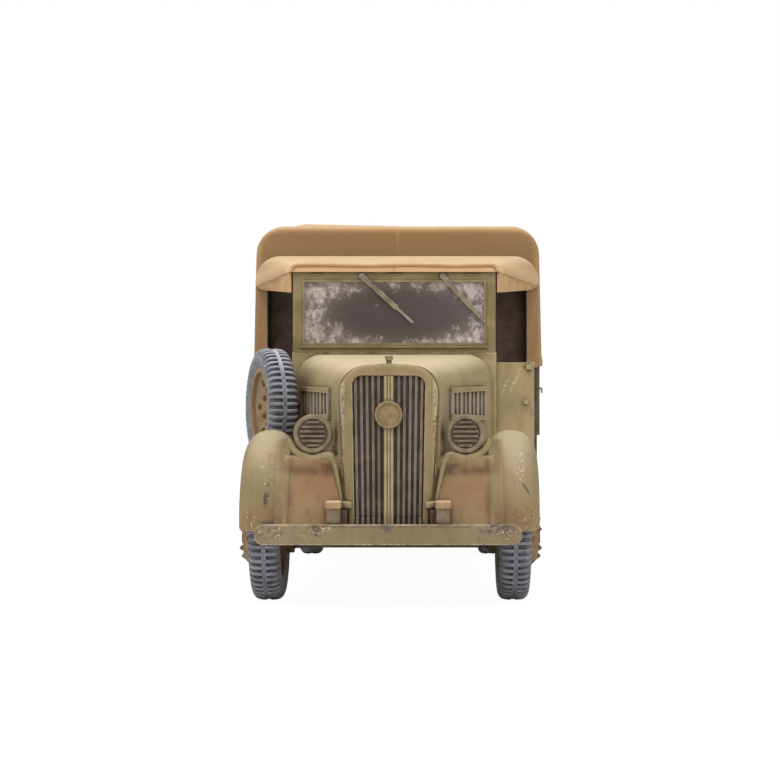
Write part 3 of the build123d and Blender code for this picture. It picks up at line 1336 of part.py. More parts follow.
with BuildPart() as cargo_floor:
    with Locations((0, (body_front_y + body_rear_y) / 2, BODY_FLOOR_Z)):
        Box(
            2 * (board_inner_x - SEAT_GAP),
            body_length - 2 * (BOARD_THICKNESS + SEAT_GAP),
            FLOOR_THICKNESS,
            align=(Align.CENTER, Align.CENTER, Align.MAX),
        )
    for bearer in range(CROSS_BEARERS):
        with Locations((0, first_bearer_y + bearer * bearer_pitch, floor_bottom_z)):
            Box(
                2 * (board_inner_x - 1.0),
                CROSS_BEARER_DEPTH,
                CROSS_BEARER_HEIGHT,
                align=(Align.CENTER, Align.CENTER, Align.MAX),
            )
    for side in (-1, 1):
        with Locations((side * rail_x, long_bearer_start_y, rear_rail_top_z + SEAT_GAP)):
            Box(
                LONG_BEARER_WIDTH,
                body_rear_y - BOARD_THICKNESS - SEAT_GAP - long_bearer_start_y,
                floor_bottom_z - rear_rail_top_z - SEAT_GAP,
                align=(Align.CENTER, Align.MIN, Align.MIN),
            )
write_piece(cargo_floor.part, "cargo_floor")

# ---- Cargo sides, headboard and tailboard: boards with stakes outside -------------------
board_bottom_z = floor_bottom_z - 0.05
board_height = BOARD_TOP_Z - board_bottom_z
plank_height = board_height / BOARD_COUNT
stake_bottom_z = board_bottom_z
for side_name, side in (("left", 1), ("right", -1)):
    with BuildPart() as cargo_side:
        with Locations((side * (board_inner_x + BOARD_THICKNESS / 2),
                        (body_front_y + body_rear_y) / 2, board_bottom_z)):
            Box(
                BOARD_THICKNESS,
                body_length,
                board_height,
                align=(Align.CENTER, Align.CENTER, Align.MIN),
            )
        for plank in range(1, BOARD_COUNT):
            groove_z = board_bottom_z + plank * plank_height
            with Locations((side * (board_inner_x + BOARD_THICKNESS),
                            (body_front_y + body_rear_y) / 2, groove_z)):
                Box(BOARD_GROOVE * 1.2, body_length, BOARD_GROOVE, mode=Mode.SUBTRACT)
        stake_pitch = (body_length - STAKE_WIDTH) / (STAKES_PER_SIDE - 1)
        for stake in range(STAKES_PER_SIDE):
            stake_y = body_front_y + STAKE_WIDTH / 2 + stake * stake_pitch
            with Locations((side * (BODY_HALF - STAKE_THICKNESS), stake_y, stake_bottom_z)):
                Box(
                    STAKE_THICKNESS,
                    STAKE_WIDTH,
                    BOARD_TOP_Z - stake_bottom_z,
                    align=(Align.MIN if side > 0 else Align.MAX, Align.CENTER, Align.MIN),
                )
    write_piece(cargo_side.part, f"cargo_side_{side_name}")

end_board_half = board_inner_x - SEAT_GAP
# node, y of its middle, which way its irons face, their number
END_BOARDS = [
    ("cargo_headboard", body_front_y + BOARD_THICKNESS / 2, -1, HEADBOARD_IRON_COUNT),
    ("tailboard", body_rear_y - BOARD_THICKNESS / 2, 1, TAILBOARD_IRON_COUNT),
]
for end_name, end_y, outward, irons in END_BOARDS:
    with BuildPart() as end_board:
        with Locations((0, end_y, board_bottom_z)):
            Box(
                2 * end_board_half,
                BOARD_THICKNESS,
                board_height,
                align=(Align.CENTER, Align.CENTER, Align.MIN),
            )
        for plank in range(1, BOARD_COUNT):
            groove_z = board_bottom_z + plank * plank_height
            with Locations((0, end_y + outward * BOARD_THICKNESS / 2, groove_z)):
                Box(2 * end_board_half, BOARD_GROOVE * 1.2, BOARD_GROOVE, mode=Mode.SUBTRACT)
        for iron in range(irons):
            iron_x = end_board_half * (2 * (iron + 0.5) / irons - 1)
            with Locations((iron_x, end_y + outward * BOARD_THICKNESS / 2, board_bottom_z)):
                Box(
                    STAKE_WIDTH,
                    STAKE_THICKNESS,
                    board_height,
                    align=(Align.CENTER, Align.MIN if outward > 0 else Align.MAX, Align.MIN),
                )
    write_piece(end_board.part, end_name)

# ---- Tilt: hard moulded canvas cover over the cargo space -------------------------------
tilt_bottom_z = BOARD_TOP_Z + SEAT_GAP
tilt_front_y = behind(TILT_FRONT_BEHIND)
tilt_rear_y = behind(TILT_REAR_BEHIND)

# behind the front axle, height of the roof there, inset of the whole section all round
TILT_SECTIONS = [
    (TILT_FRONT_BEHIND, TILT_FRONT_TOP_Z, TILT_RIM),
    (TILT_FRONT_BEHIND + TILT_RIM * 0.3, TILT_FRONT_TOP_Z, TILT_RIM * 0.3),
    (TILT_FRONT_BEHIND + TILT_RIM, TILT_FRONT_TOP_Z, 0),
    (TILT_CROWN_BEHIND, TILT_CROWN_TOP_Z, 0),
    (TILT_REAR_BEHIND, TILT_REAR_TOP_Z, 0),
]


def tilt_section(place, top_z, inset, drop):
    """Section of the tilt: sides that lean in, rounded shoulders, flat roof."""
    foot_half = TILT_HALF - inset
    foot_z = tilt_bottom_z - drop
    crown_z = top_z - inset
    lean = TILT_LEAN * (crown_z - foot_z) / (TILT_FRONT_TOP_Z - tilt_bottom_z)
    with BuildSketch(Plane.XZ.offset(-behind(place))) as section:
        with BuildLine():
            Polyline(
                (-foot_half, foot_z),
                (-foot_half + lean, crown_z),
                (foot_half - lean, crown_z),
                (foot_half, foot_z),
                close=True,
            )
        make_face()
        fillet(section.vertices().group_by(Axis.Y)[-1], TILT_CORNER - inset)
    return section.sketch


tilt_inner_front = TILT_FRONT_BEHIND + TILT_WALL
with BuildPart() as tilt:
    loft([tilt_section(*row, 0) for row in TILT_SECTIONS], ruled=True)
    loft(
        [
            tilt_section(tilt_inner_front, TILT_FRONT_TOP_Z, TILT_RIM + TILT_WALL * 0.5, 1),
            tilt_section(TILT_FRONT_BEHIND + 2 * TILT_RIM, TILT_FRONT_TOP_Z, TILT_WALL, 1),
            tilt_section(TILT_CROWN_BEHIND, TILT_CROWN_TOP_Z, TILT_WALL, 1),
            tilt_section(TILT_REAR_BEHIND, TILT_REAR_TOP_Z, TILT_WALL, 1),
        ],
        ruled=True,
        mode=Mode.SUBTRACT,
    )
write_piece(tilt.part, "tilt")

# ---- Tilt hoops: square bars inside the cover, standing on the floor --------------------
# behind the front axle, height of the cover's roof there
HOOPS = [
    (TILT_CROWN_BEHIND, TILT_CROWN_TOP_Z),
    ((TILT_CROWN_BEHIND + TILT_REAR_BEHIND) / 2, (TILT_CROWN_TOP_Z + TILT_REAR_TOP_Z) / 2),
    (BODY_REAR_BEHIND - BOARD_THICKNESS - HOOP_DEPTH, TILT_REAR_TOP_Z),
]
with BuildPart() as tilt_hoops:
    for hoop_place, roof_z in HOOPS:
        hoop_inset = TILT_WALL + HOOP_CLEARANCE
        leg_inset = TILT_HALF - board_inner_x + SEAT_GAP + TILT_LEAN
        inset = max(hoop_inset + TILT_LEAN, leg_inset)
        with BuildSketch(Plane.XZ.offset(-behind(hoop_place) + HOOP_DEPTH / 2)):
            top_z = roof_z - hoop_inset
            foot_z = BODY_FLOOR_Z + SEAT_GAP
            half = TILT_HALF - inset
            with BuildSketch() as ring:
                with Locations((0, (top_z + foot_z) / 2)):
                    Rectangle(2 * half, top_z - foot_z)
                fillet(ring.vertices().group_by(Axis.Y)[-1], TILT_CORNER - TILT_WALL)
            with BuildSketch(mode=Mode.SUBTRACT) as inner_ring:
                with Locations((0, (top_z - HOOP_WIDTH + foot_z - 1) / 2)):
                    Rectangle(2 * (half - HOOP_WIDTH), top_z - HOOP_WIDTH - foot_z + 1)
                fillet(
                    inner_ring.vertices().group_by(Axis.Y)[-1],
                    TILT_CORNER - TILT_WALL - HOOP_WIDTH,
                )
        extrude(amount=-HOOP_DEPTH)
write_piece(tilt_hoops.part, "tilt_hoops")

# ---- Rear mudguards: plain bent strips under the body ------------------------------------
rear_guard_outer = cross_bearer_z - SEAT_GAP - axle_z
rear_guard_inner = rear_guard_outer - REAR_GUARD_WALL
with BuildPart() as rear_mudguards:
    for side in (-1, 1):
        guard_left_x = side * TRACK / 2 - REAR_GUARD_WIDTH / 2
        with BuildSketch(Plane.YZ.offset(guard_left_x)):
            with BuildLine():
                guard_middle = (rear_axle_y, axle_z)
                guard_arc = (REAR_GUARD_START, REAR_GUARD_SWEEP)
                outer = CenterArc(guard_middle, rear_guard_outer, *guard_arc)
                inner = CenterArc(guard_middle, rear_guard_inner, *guard_arc)
                Line(outer @ 0, inner @ 0)
                Line(outer @ 1, inner @ 1)
            make_face()
        extrude(amount=REAR_GUARD_WIDTH)
write_piece(rear_mudguards.part, "rear_mudguards")

# ---- Running boards ---------------------------------------------------------------------
board_front_y = behind(AXLE_TO_BOARD)
with BuildPart() as running_boards:
    for side in (-1, 1):
        inner = RUNNING_BOARD_INNER
        with Locations((side * (inner + GUARD_OUTER_X) / 2, board_front_y, GUARD_TAIL_Z - SEAT_GAP)):
            Box(
                GUARD_OUTER_X - inner,
                cab_rear_y - board_front_y,
                RUNNING_BOARD_THICKNESS,
                align=(Align.CENTER, Align.MIN, Align.MAX),
            )
        for bracket in BOARD_BRACKETS:
            bracket_y = board_front_y + bracket * (cab_rear_y - board_front_y)
            bracket_end = rail_x + RAIL_WIDTH / 2 + SEAT_GAP
            with Locations((side * bracket_end, bracket_y, GUARD_TAIL_Z - SEAT_GAP)):
                Box(
                    GUARD_OUTER_X - bracket_end - 0.6,
                    0.8,
                    0.5,
                    align=(Align.MIN if side > 0 else Align.MAX, Align.CENTER, Align.MAX),
                )
write_piece(running_boards.part, "running_boards")

# ---- Fuel tank, tool box, propeller shaft, exhaust --------------------------------------
tank_outer_x = RUNNING_BOARD_INNER - 0.4
with BuildPart() as fuel_tank:
    with Locations((tank_outer_x, behind(TANK_BEHIND), RAIL_BOTTOM - TANK_DROP)):
        Box(TANK_WIDTH, TANK_LENGTH, TANK_HEIGHT, align=(Align.MAX, Align.MIN, Align.CENTER))
    fillet(fuel_tank.edges().filter_by(Axis.Y), 0.8)
write_piece(fuel_tank.part, "fuel_tank")

with BuildPart() as tool_box:
    with Locations((-tank_outer_x, behind(BOX_BEHIND), RAIL_BOTTOM - TANK_DROP)):
        Box(BOX_WIDTH, BOX_LENGTH, BOX_HEIGHT, align=(Align.MIN, Align.MIN, Align.CENTER))
        Box(BOX_WIDTH + 0.4, BOX_LENGTH + 0.4, 0.5, align=(Align.MIN, Align.MIN, Align.MIN))
write_piece(tool_box.part, "tool_box")

pipe_x = -(ENGINE_WIDTH / 2 + PIPE_RADIUS + SEAT_GAP)
pipe_z = RAIL_BOTTOM + 0.4 - SEAT_GAP - PIPE_RADIUS
with BuildPart() as exhaust:
    with BuildSketch(Plane.XZ.offset(-behind(-2.0))):
        with Locations((pipe_x, pipe_z)):
            Circle(PIPE_RADIUS)
    extrude(amount=-PIPE_LENGTH)
    with BuildSketch(Plane.XZ.offset(-behind(SILENCER_BEHIND))):
        with Locations((pipe_x, pipe_z)):
            Circle(SILENCER_RADIUS)
    extrude(amount=-SILENCER_LENGTH)
    fillet(exhaust.edges().filter_by(GeomType.CIRCLE).group_by(SortBy.RADIUS)[-1], 0.3)
write_piece(exhaust.part, "exhaust")

shaft_front = Vector(0, gearbox_front_y + GEARBOX_LENGTH + SEAT_GAP, RAIL_BOTTOM + SHAFT_RISE)
shaft_rear = Vector(0, rear_axle_y - DIFFERENTIAL_RADIUS * 1.4 - SEAT_GAP, axle_z)
shaft_run = shaft_rear - shaft_front
with BuildPart() as drive_shaft:
    with BuildSketch(Plane(origin=shaft_front, x_dir=(1, 0, 0), z_dir=shaft_run.normalized())):
        Circle(SHAFT_RADIUS)
    extrude(amount=shaft_run.length - SHAFT_RADIUS * 0.2)
write_piece(drive_shaft.part, "drive_shaft")

# ---- Tow jaw on the rear crossmember ----------------------------------------------------
jaw_z = rear_rail_top_z - RAIL_HEIGHT / 2
jaw_rear_y = rear_axle_y + REAR_OVERHANG
with BuildPart() as tow_jaw:
    with Locations((0, frame_rear_y + SEAT_GAP, jaw_z)):
        Box(
            TOW_JAW_WIDTH,
            TOW_JAW_LENGTH - SEAT_GAP,
            TOW_JAW_HEIGHT,
            align=(Align.CENTER, Align.MIN, Align.CENTER),
        )
    with Locations((0, frame_rear_y + TOW_JAW_LENGTH * 0.3, jaw_z)):
        Box(
            TOW_JAW_WIDTH,
            TOW_JAW_LENGTH,
            TOW_JAW_HEIGHT * 0.36,
            align=(Align.CENTER, Align.MIN, Align.CENTER),
            mode=Mode.SUBTRACT,
        )
    with BuildSketch(Plane.XY.offset(jaw_z - TOW_JAW_HEIGHT)):
        with Locations((0, jaw_rear_y - TOW_JAW_WIDTH / 2)):
            Circle(TOW_PIN_RADIUS)
    extrude(amount=2 * TOW_JAW_HEIGHT, mode=Mode.SUBTRACT)
write_piece(tow_jaw.part, "tow_jaw")

# ---- Tail lamp --------------------------------------------------------------------------
with BuildPart() as tail_lamp:
    with BuildSketch(Plane.XZ.offset(-body_rear_y + BOARD_THICKNESS)):
        with Locations((board_inner_x - TAIL_LAMP_IN, cross_bearer_z + CROSS_BEARER_HEIGHT / 2)):
            Circle(TAIL_LAMP_RADIUS)
    extrude(amount=-TAIL_LAMP_LENGTH)
    fillet(tail_lamp.faces().sort_by(Axis.Y)[-1].edges(), 0.25)
write_piece(tail_lamp.part, "tail_lamp")

# ---- Spare wheel carrier: stud, plate and an arm back to the scuttle ---------------------
carrier_back = TYRE_WIDTH / 2 + 0.1  # plate's outer face inward of the wheel's middle plane
plate_plane = Plane(
    origin=spare_centre - spare_out * carrier_back, x_dir=(0, 0, 1), z_dir=-spare_out
)
arm_outer_x = SCUTTLE_HALF
arm_start_y = behind(SPARE_BEHIND) + carrier_back * math.sin(spare_turn)
with BuildPart() as spare_carrier:
    with BuildSketch(plate_plane):
        Circle(CARRIER_PLATE_RADIUS)
    extrude(amount=CARRIER_PLATE)
    with BuildSketch(plate_plane):
        Circle(STUB_RADIUS)
    extrude(amount=-(carrier_back + bore_end(False) - RUNNING_GAP))
    with Locations((-arm_outer_x, arm_start_y, SPARE_Z)):
        Box(
            CARRIER_ARM,
            scuttle_front_y - SEAT_GAP - arm_start_y,
            CARRIER_ARM * 2,
            align=(Align.MIN, Align.MIN, Align.CENTER),
        )
write_piece(spare_carrier.part, "spare_carrier")
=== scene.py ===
# %% [markdown]
# # A painted and weathered 1:56 kit truck
# The model is moulded in polystyrene, glued, sprayed sand, washed brown in its recesses,
# and its edges are chipped. Its solids come packed as a fixed frame. This notebook adds the
# tread, bolts, folds and small fittings, and gives every surface its finish.
# Lengths are written in millimetres here and become metres when a mesh is made.

# %% Load the frame
import math

import bmesh
import bpy
import numpy as np
from mathutils.bvhtree import BVHTree
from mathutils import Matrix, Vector


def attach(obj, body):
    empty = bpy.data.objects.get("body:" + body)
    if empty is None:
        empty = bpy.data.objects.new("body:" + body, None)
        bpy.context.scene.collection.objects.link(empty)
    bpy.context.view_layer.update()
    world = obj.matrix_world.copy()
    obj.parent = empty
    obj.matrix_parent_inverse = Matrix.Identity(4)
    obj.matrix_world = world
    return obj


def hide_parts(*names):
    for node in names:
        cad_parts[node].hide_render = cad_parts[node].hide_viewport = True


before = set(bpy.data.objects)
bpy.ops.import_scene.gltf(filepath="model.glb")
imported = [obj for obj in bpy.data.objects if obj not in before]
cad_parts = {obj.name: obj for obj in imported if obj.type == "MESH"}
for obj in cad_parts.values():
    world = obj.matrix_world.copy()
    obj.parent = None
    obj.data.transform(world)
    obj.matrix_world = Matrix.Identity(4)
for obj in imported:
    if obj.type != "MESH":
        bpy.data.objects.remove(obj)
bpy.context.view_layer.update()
MM = 0.001

# The places of the main parts, in millimetres: front faces -Y, +X is the truck's left.
FRONT_AXLE_Y = -33.0
REAR_AXLE_Y = 27.8
AXLE_Z = 7.05
TRACK = 27.4
SIDES = (("left", 1), ("right", -1))  # and the sign of their X


def behind(distance):
    """Y of a place that far behind the front axle, in mm."""
    return FRONT_AXLE_Y + distance


# %% [markdown]
# ## The camera
# A camera close to a small model sees its front larger than its rear. This one stands
# 164 mm before the front axle at the height of the lamps and looks straight along the
# truck. Its lens is shifted a little, which keeps upright lines upright.

# %% Camera
PICTURE = 780  # pixels on each side of the square view
CAMERA_AHEAD = 164.0  # of the front axle
CAMERA_X = 3.9
CAMERA_Z = 19.15
FOCAL_PIXELS = 1451.0
VANISHING_POINT = (425.7, 430.0)  # where lines along the truck meet, in pixels
SENSOR = 36.0

camera_data = bpy.data.cameras.new("camera")
camera_data.sensor_width = SENSOR
camera_data.lens = FOCAL_PIXELS / PICTURE * SENSOR
camera_data.shift_x = (PICTURE / 2 - VANISHING_POINT[0]) / PICTURE
camera_data.shift_y = (VANISHING_POINT[1] - PICTURE / 2) / PICTURE
camera_data.clip_start, camera_data.clip_end = 0.005, 20.0
camera = bpy.data.objects.new("camera", camera_data)
camera.location = (CAMERA_X * MM, behind(-CAMERA_AHEAD) * MM, CAMERA_Z * MM)
camera.rotation_euler = (math.pi / 2, 0.0, 0.0)
bpy.context.scene.collection.objects.link(camera)
bpy.context.scene.camera = camera
print("lens", round(camera_data.lens, 2), "mm")

# %% [markdown]
# ## Light and floor
# One broad soft box hangs above and a little before the truck, and the white room fills
# the shadows. The floor and the room are white only for the camera and for reflections.

# %% Colours and nodes
def linear(hex_colour):
    """Linear RGBA of an sRGB hex colour: ((c + 0.055) / 1.055) ** 2.4 above 0.04045."""
    srgb = np.array([int(hex_colour[i : i + 2], 16) for i in (0, 2, 4)]) / 255
    low, high = srgb / 12.92, ((srgb + 0.055) / 1.055) ** 2.4
    return (*np.where(srgb > 0.04045, high, low).tolist(), 1.0)


def add_node(tree, kind, inputs=None, **settings):
    """Add a node, set its properties, and set or link its input sockets."""
    made = tree.nodes.new(kind)
    for name, value in settings.items():
        setattr(made, name, value)
    for name, value in (inputs or {}).items():
        if isinstance(value, bpy.types.NodeSocket):
            tree.links.new(value, made.inputs[name])
        else:
            made.inputs[name].default_value = value
    return made


def clear_tree(owner):
    """The empty node tree of a material or world."""
    owner.use_nodes = True
    owner.node_tree.nodes.clear()
    return owner.node_tree


# %% Floor, room and lamps
ROOM_LIGHT = 0.8
CARD_WHITE = (0.8, 0.8, 0.8, 1)
CARD_GLOW, CARD_GLOW_SHARE = 1.1, 0.86  # lifts the floor to white for the camera alone
WHITE = (1, 1, 1, 1)
scene = bpy.context.scene
scene.view_settings.view_transform = "Standard"

world = bpy.data.worlds.new("white_room")
scene.world = world
tree = clear_tree(world)
path = add_node(tree, "ShaderNodeLightPath")
seen = add_node(tree, "ShaderNodeMath", {0: path.outputs["Is Camera Ray"],
                                         1: path.outputs["Is Transmission Ray"]},
                operation="MAXIMUM")
strength = add_node(tree, "ShaderNodeMapRange", {"Value": seen.outputs[0],
                                                 "To Min": ROOM_LIGHT, "To Max": 1.0})
room = add_node(tree, "ShaderNodeBackground", {"Color": WHITE,
                                               "Strength": strength.outputs[0]})
add_node(tree, "ShaderNodeOutputWorld", {"Surface": room.outputs[0]})

floor_material = bpy.data.materials.new("white_card")
tree = clear_tree(floor_material)
path = add_node(tree, "ShaderNodeLightPath")
card = add_node(tree, "ShaderNodeBsdfDiffuse", {"Color": CARD_WHITE})
glow = add_node(tree, "ShaderNodeEmission", {"Color": WHITE, "Strength": CARD_GLOW})
share = add_node(tree, "ShaderNodeMapRange", {"Value": path.outputs["Is Camera Ray"],
                                              "To Min": 0.0, "To Max": CARD_GLOW_SHARE})
floor_mix = add_node(tree, "ShaderNodeMixShader", {0: share.outputs[0], 1: card.outputs[0],
                                                   2: glow.outputs[0]})
add_node(tree, "ShaderNodeOutputMaterial", {"Surface": floor_mix.outputs[0]})

FLOOR_HALF = 3.0  # metres
floor_mesh = bpy.data.meshes.new("floor")
floor_mesh.from_pydata([(-FLOOR_HALF, -FLOOR_HALF, 0), (FLOOR_HALF, -FLOOR_HALF, 0),
                        (FLOOR_HALF, FLOOR_HALF, 0), (-FLOOR_HALF, FLOOR_HALF, 0)],
                       [], [(0, 1, 2, 3)])
floor_mesh.materials.append(floor_material)
floor = bpy.data.objects.new("floor", floor_mesh)
scene.collection.objects.link(floor)

# name, place in mm, point it faces, size in mm, watts
LAMPS = [
    ("soft_box_above", (-50, -90, 330), (0, 0, 20), 320, 1.02),
    ("fill_front", (120, -330, 150), (0, 0, 20), 260, 0.2),
]
for lamp_name, place, target, size, power in LAMPS:
    light = bpy.data.lights.new(lamp_name, "AREA")
    light.shape, light.size, light.energy = "SQUARE", size * MM, power
    lamp = bpy.data.objects.new(lamp_name, light)
    lamp.location = np.array(place) * MM
    towards = Vector(np.array(target, float) - np.array(place, float))
    lamp.rotation_euler = towards.to_track_quat("-Z", "Y").to_euler()
    scene.collection.objects.link(lamp)
print("lamps:", [row[0] for row in LAMPS])

# %% [markdown]
# ## From arrays to meshes
# Every added piece is a surface worked out with numpy: a grid of points, a turned profile
# or a section carried along a path. Each function below returns points in mm and faces,
# several of them can be joined, and one function puts the result into a mesh.

# %% Surfaces
def grid_faces(rows, columns, wrap_rows=False, wrap_columns=False):
    """Quads between neighbours (r, c), (r, c+1), (r+1, c+1), (r+1, c) of a point grid."""
    r = np.arange(rows if wrap_rows else rows - 1)[:, None]
    c = np.arange(columns if wrap_columns else columns - 1)[None, :]
    r2, c2 = (r + 1) % rows, (c + 1) % columns
    return np.stack([r * columns + c, r * columns + c2, r2 * columns + c2, r2 * columns + c],
                    axis=-1).reshape(-1, 4)


def outward(points, faces):
    """Turn all faces round if the signed volume, the sum of a.(b x c) / 6, is negative."""
    a, b, c, d = (points[faces[:, i]] for i in range(4))
    volume = (a * np.cross(b, c)).sum() + (a * np.cross(c, d)).sum()
    return faces if volume > 0 else faces[:, ::-1]


def joined(*parts):
    """Several (points, faces) pairs as one pair."""
    starts = np.cumsum([0] + [len(points) for points, _ in parts[:-1]])
    return (np.concatenate([points for points, _ in parts]),
            np.concatenate([faces + start for (_, faces), start in zip(parts, starts)]))


def frame_along(direction):
    """Two unit vectors square to a direction, and the direction itself, as rows."""
    forward = np.array(direction, float) / np.linalg.norm(direction)
    helper = np.array([0.0, 0.0, 1.0]) if abs(forward[2]) < 0.9 else np.array([1.0, 0.0, 0.0])
    first = np.cross(helper, forward)
    first /= np.linalg.norm(first)
    return np.array([first, np.cross(forward, first), forward])


def turned(profile, centre, direction, steps, start=0.0):
    """Turn a profile of (along, radius) rows about an axis: p = c + along*k +
    radius*(cos t*i + sin t*j). Its first and last row have radius 0, which closes it."""
    i, j, k = frame_along(direction)
    along, radius = np.array(profile, float).T
    t = start + 2 * np.pi * np.arange(steps) / steps
    points = (np.array(centre, float) + along[:, None, None] * k + radius[:, None, None]
              * (np.cos(t)[None, :, None] * i + np.sin(t)[None, :, None] * j)).reshape(-1, 3)
    return points, outward(points, grid_faces(len(along), steps, wrap_columns=True))


def swept(section, path, scale=None):
    """Carry a closed section of (across, above) rows along a path: p = q + across*n +
    above*b, where n is square to the path and to Y, and b completes the corner. scale
    makes the section larger or smaller at each point of the path."""
    path, section = np.array(path, float), np.array(section, float)
    tangent = np.gradient(path, axis=0)
    tangent /= np.linalg.norm(tangent, axis=1)[:, None]
    across = np.cross(tangent, np.array([0.0, 1.0, 0.0]))
    across /= np.linalg.norm(across, axis=1)[:, None]
    above = np.cross(across, tangent)
    size = np.ones(len(path)) if scale is None else np.array(scale, float)
    points = (path[:, None] + size[:, None, None] * (section[None, :, :1] * across[:, None]
              + section[None, :, 1:] * above[:, None]))
    ends = [np.repeat(path[at][None, None], len(section), axis=1) for at in (0, -1)]
    points = np.concatenate([ends[0], points, ends[1]])
    rows, columns = points.shape[:2]
    flat = points.reshape(-1, 3)
    return flat, outward(flat, grid_faces(rows, columns, wrap_columns=True))


def shell_between(outer, inner):
    """A closed wall between two point grids: both faces, and a strip along each border."""
    rows, columns = outer.shape[:2]
    points = np.concatenate([outer.reshape(-1, 3), inner.reshape(-1, 3)])
    count = rows * columns
    face = grid_faces(rows, columns)
    index = np.arange(count).reshape(rows, columns)
    border = np.concatenate([index[0], index[1:, -1], index[-1, -2::-1], index[-2:0:-1, 0]])
    following = np.roll(border, -1)
    strip = np.stack([border, border + count, following + count, following], axis=-1)
    faces = np.concatenate([face, face[:, ::-1] + count, strip])
    return points, outward(points, faces)


# %% Rounded blocks, slabs and plates
BLOCK_ROWS, BLOCK_COLUMNS = 12, 20


def rounded_block(centre, half, squareness):
    """A rounded block: with c(t) = sign(cos t) |cos t| ** squareness and s(t) likewise,
    p = (a c(v) c(u), b c(v) s(u), h s(v)), for u round it and v from foot to top."""
    v = np.linspace(-np.pi / 2, np.pi / 2, BLOCK_ROWS)[:, None]
    u = (2 * np.pi * np.arange(BLOCK_COLUMNS) / BLOCK_COLUMNS)[None, :]

    def power(wave):
        return np.sign(wave) * np.abs(wave) ** squareness

    offsets = np.stack([half[0] * power(np.cos(v)) * power(np.cos(u)),
                        half[1] * power(np.cos(v)) * power(np.sin(u)),
                        half[2] * power(np.sin(v)) * np.ones_like(u)], axis=-1)
    points = (np.array(centre, float) + offsets).reshape(-1, 3)
    return points, outward(points, grid_faces(BLOCK_ROWS, BLOCK_COLUMNS, wrap_columns=True))


def slab(low, high):
    """A plain closed box between two corners, in mm."""
    low, high = np.array(low, float), np.array(high, float)
    corners = np.array([[i, j, k] for k in (0, 1) for j in (0, 1) for i in (0, 1)])
    faces = np.array([(0, 2, 3, 1), (4, 5, 7, 6), (0, 1, 5, 4), (2, 6, 7, 3), (0, 4, 6, 2),
                      (1, 3, 7, 5)])
    return low + corners * (high - low), faces


def plate(corners, thickness):
    """A thin closed plate: the four corners and their copies moved by thickness along the
    normal (b - a) x (c - a)."""
    corners = np.array(corners, float)
    normal = np.cross(corners[1] - corners[0], corners[2] - corners[0])
    moved = corners + normal / np.linalg.norm(normal) * thickness
    sides = [(i, (i + 1) % 4, (i + 1) % 4 + 4, i + 4) for i in range(4)]
    return np.concatenate([corners, moved]), np.array(sides + [(3, 2, 1, 0), (4, 5, 6, 7)])


# %% From points to a piece
MERGE, DEGENERATE = 1e-7, 1e-8  # metres


def piece(name, part, body, material, sharp_degrees=38.0, replaces=()):
    """Put (points, faces) into a mesh object that rides on a body of the frame."""
    points, faces = part
    mesh = bpy.data.meshes.new(name)
    mesh.from_pydata(points * MM, [], faces)
    mesh.validate()
    merge = bmesh.new()
    merge.from_mesh(mesh)
    bmesh.ops.remove_doubles(merge, verts=merge.verts, dist=MERGE)
    bmesh.ops.dissolve_degenerate(merge, edges=merge.edges, dist=DEGENERATE)
    merge.to_mesh(mesh)
    merge.free()
    mesh.shade_smooth()
    mesh.set_sharp_from_angle(angle=math.radians(sharp_degrees))
    mesh.materials.append(material)
    made = bpy.data.objects.new(name, mesh)
    scene.collection.objects.link(made)
    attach(made, body)
    if replaces:
        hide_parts(*replaces)
    made_pieces.append(name)
    return made


made_pieces = []

# %% [markdown]
# ## Paint
# The bodywork is polystyrene under matt acrylic, sprayed in thin coats: large soft clouds of
# colour, a brown wash that dries in every recess and also stands for the shade there as painted
# shade, paler paint brushed over the edges, and chips where the coat broke away. The wash with
# its painted shade and the pale edges follow the shape, so both come from ambient occlusion,
# once outside the surface and once inside it.

# %% Noise, windows, patches and boxes
def cloud(tree, size_mm, detail=4.0, rough=0.55, stretch=(1, 1, 1), offset=(0, 0, 0)):
    """Noise whose blobs are size_mm across, read in Object coordinates, in metres."""
    place = add_node(tree, "ShaderNodeTexCoord")
    moved = add_node(tree, "ShaderNodeMapping", {"Vector": place.outputs["Object"],
                                                 "Scale": stretch, "Location": offset})
    noise = add_node(tree, "ShaderNodeTexNoise", {"Vector": moved.outputs[0],
                                                  "Scale": 1 / (size_mm * MM),
                                                  "Detail": detail, "Roughness": rough})
    return noise.outputs["Fac"]


def window(tree, value, low, high, to_low=0.0, to_high=1.0):
    """value carried from low..high to to_low..to_high, smoothly, and held outside it."""
    return add_node(tree, "ShaderNodeMapRange", {0: value, 1: low, 2: high, 3: to_low,
                                                 4: to_high},
                    interpolation_type="SMOOTHSTEP").outputs[0]


def combine(tree, operation, first, second):
    """One arithmetic step on two values."""
    return add_node(tree, "ShaderNodeMath", {0: first, 1: second},
                    operation=operation).outputs[0]


def layer(tree, below, above, amount):
    """Lay one colour over another by an amount from 0 to 1."""
    mix = tree.nodes.new("ShaderNodeMix")
    mix.data_type = "RGBA"
    for socket, value in ((mix.inputs[0], amount), (mix.inputs[6], below),
                          (mix.inputs[7], above)):
        if isinstance(value, bpy.types.NodeSocket):
            tree.links.new(value, socket)
        else:
            socket.default_value = value
    return mix.outputs[2]


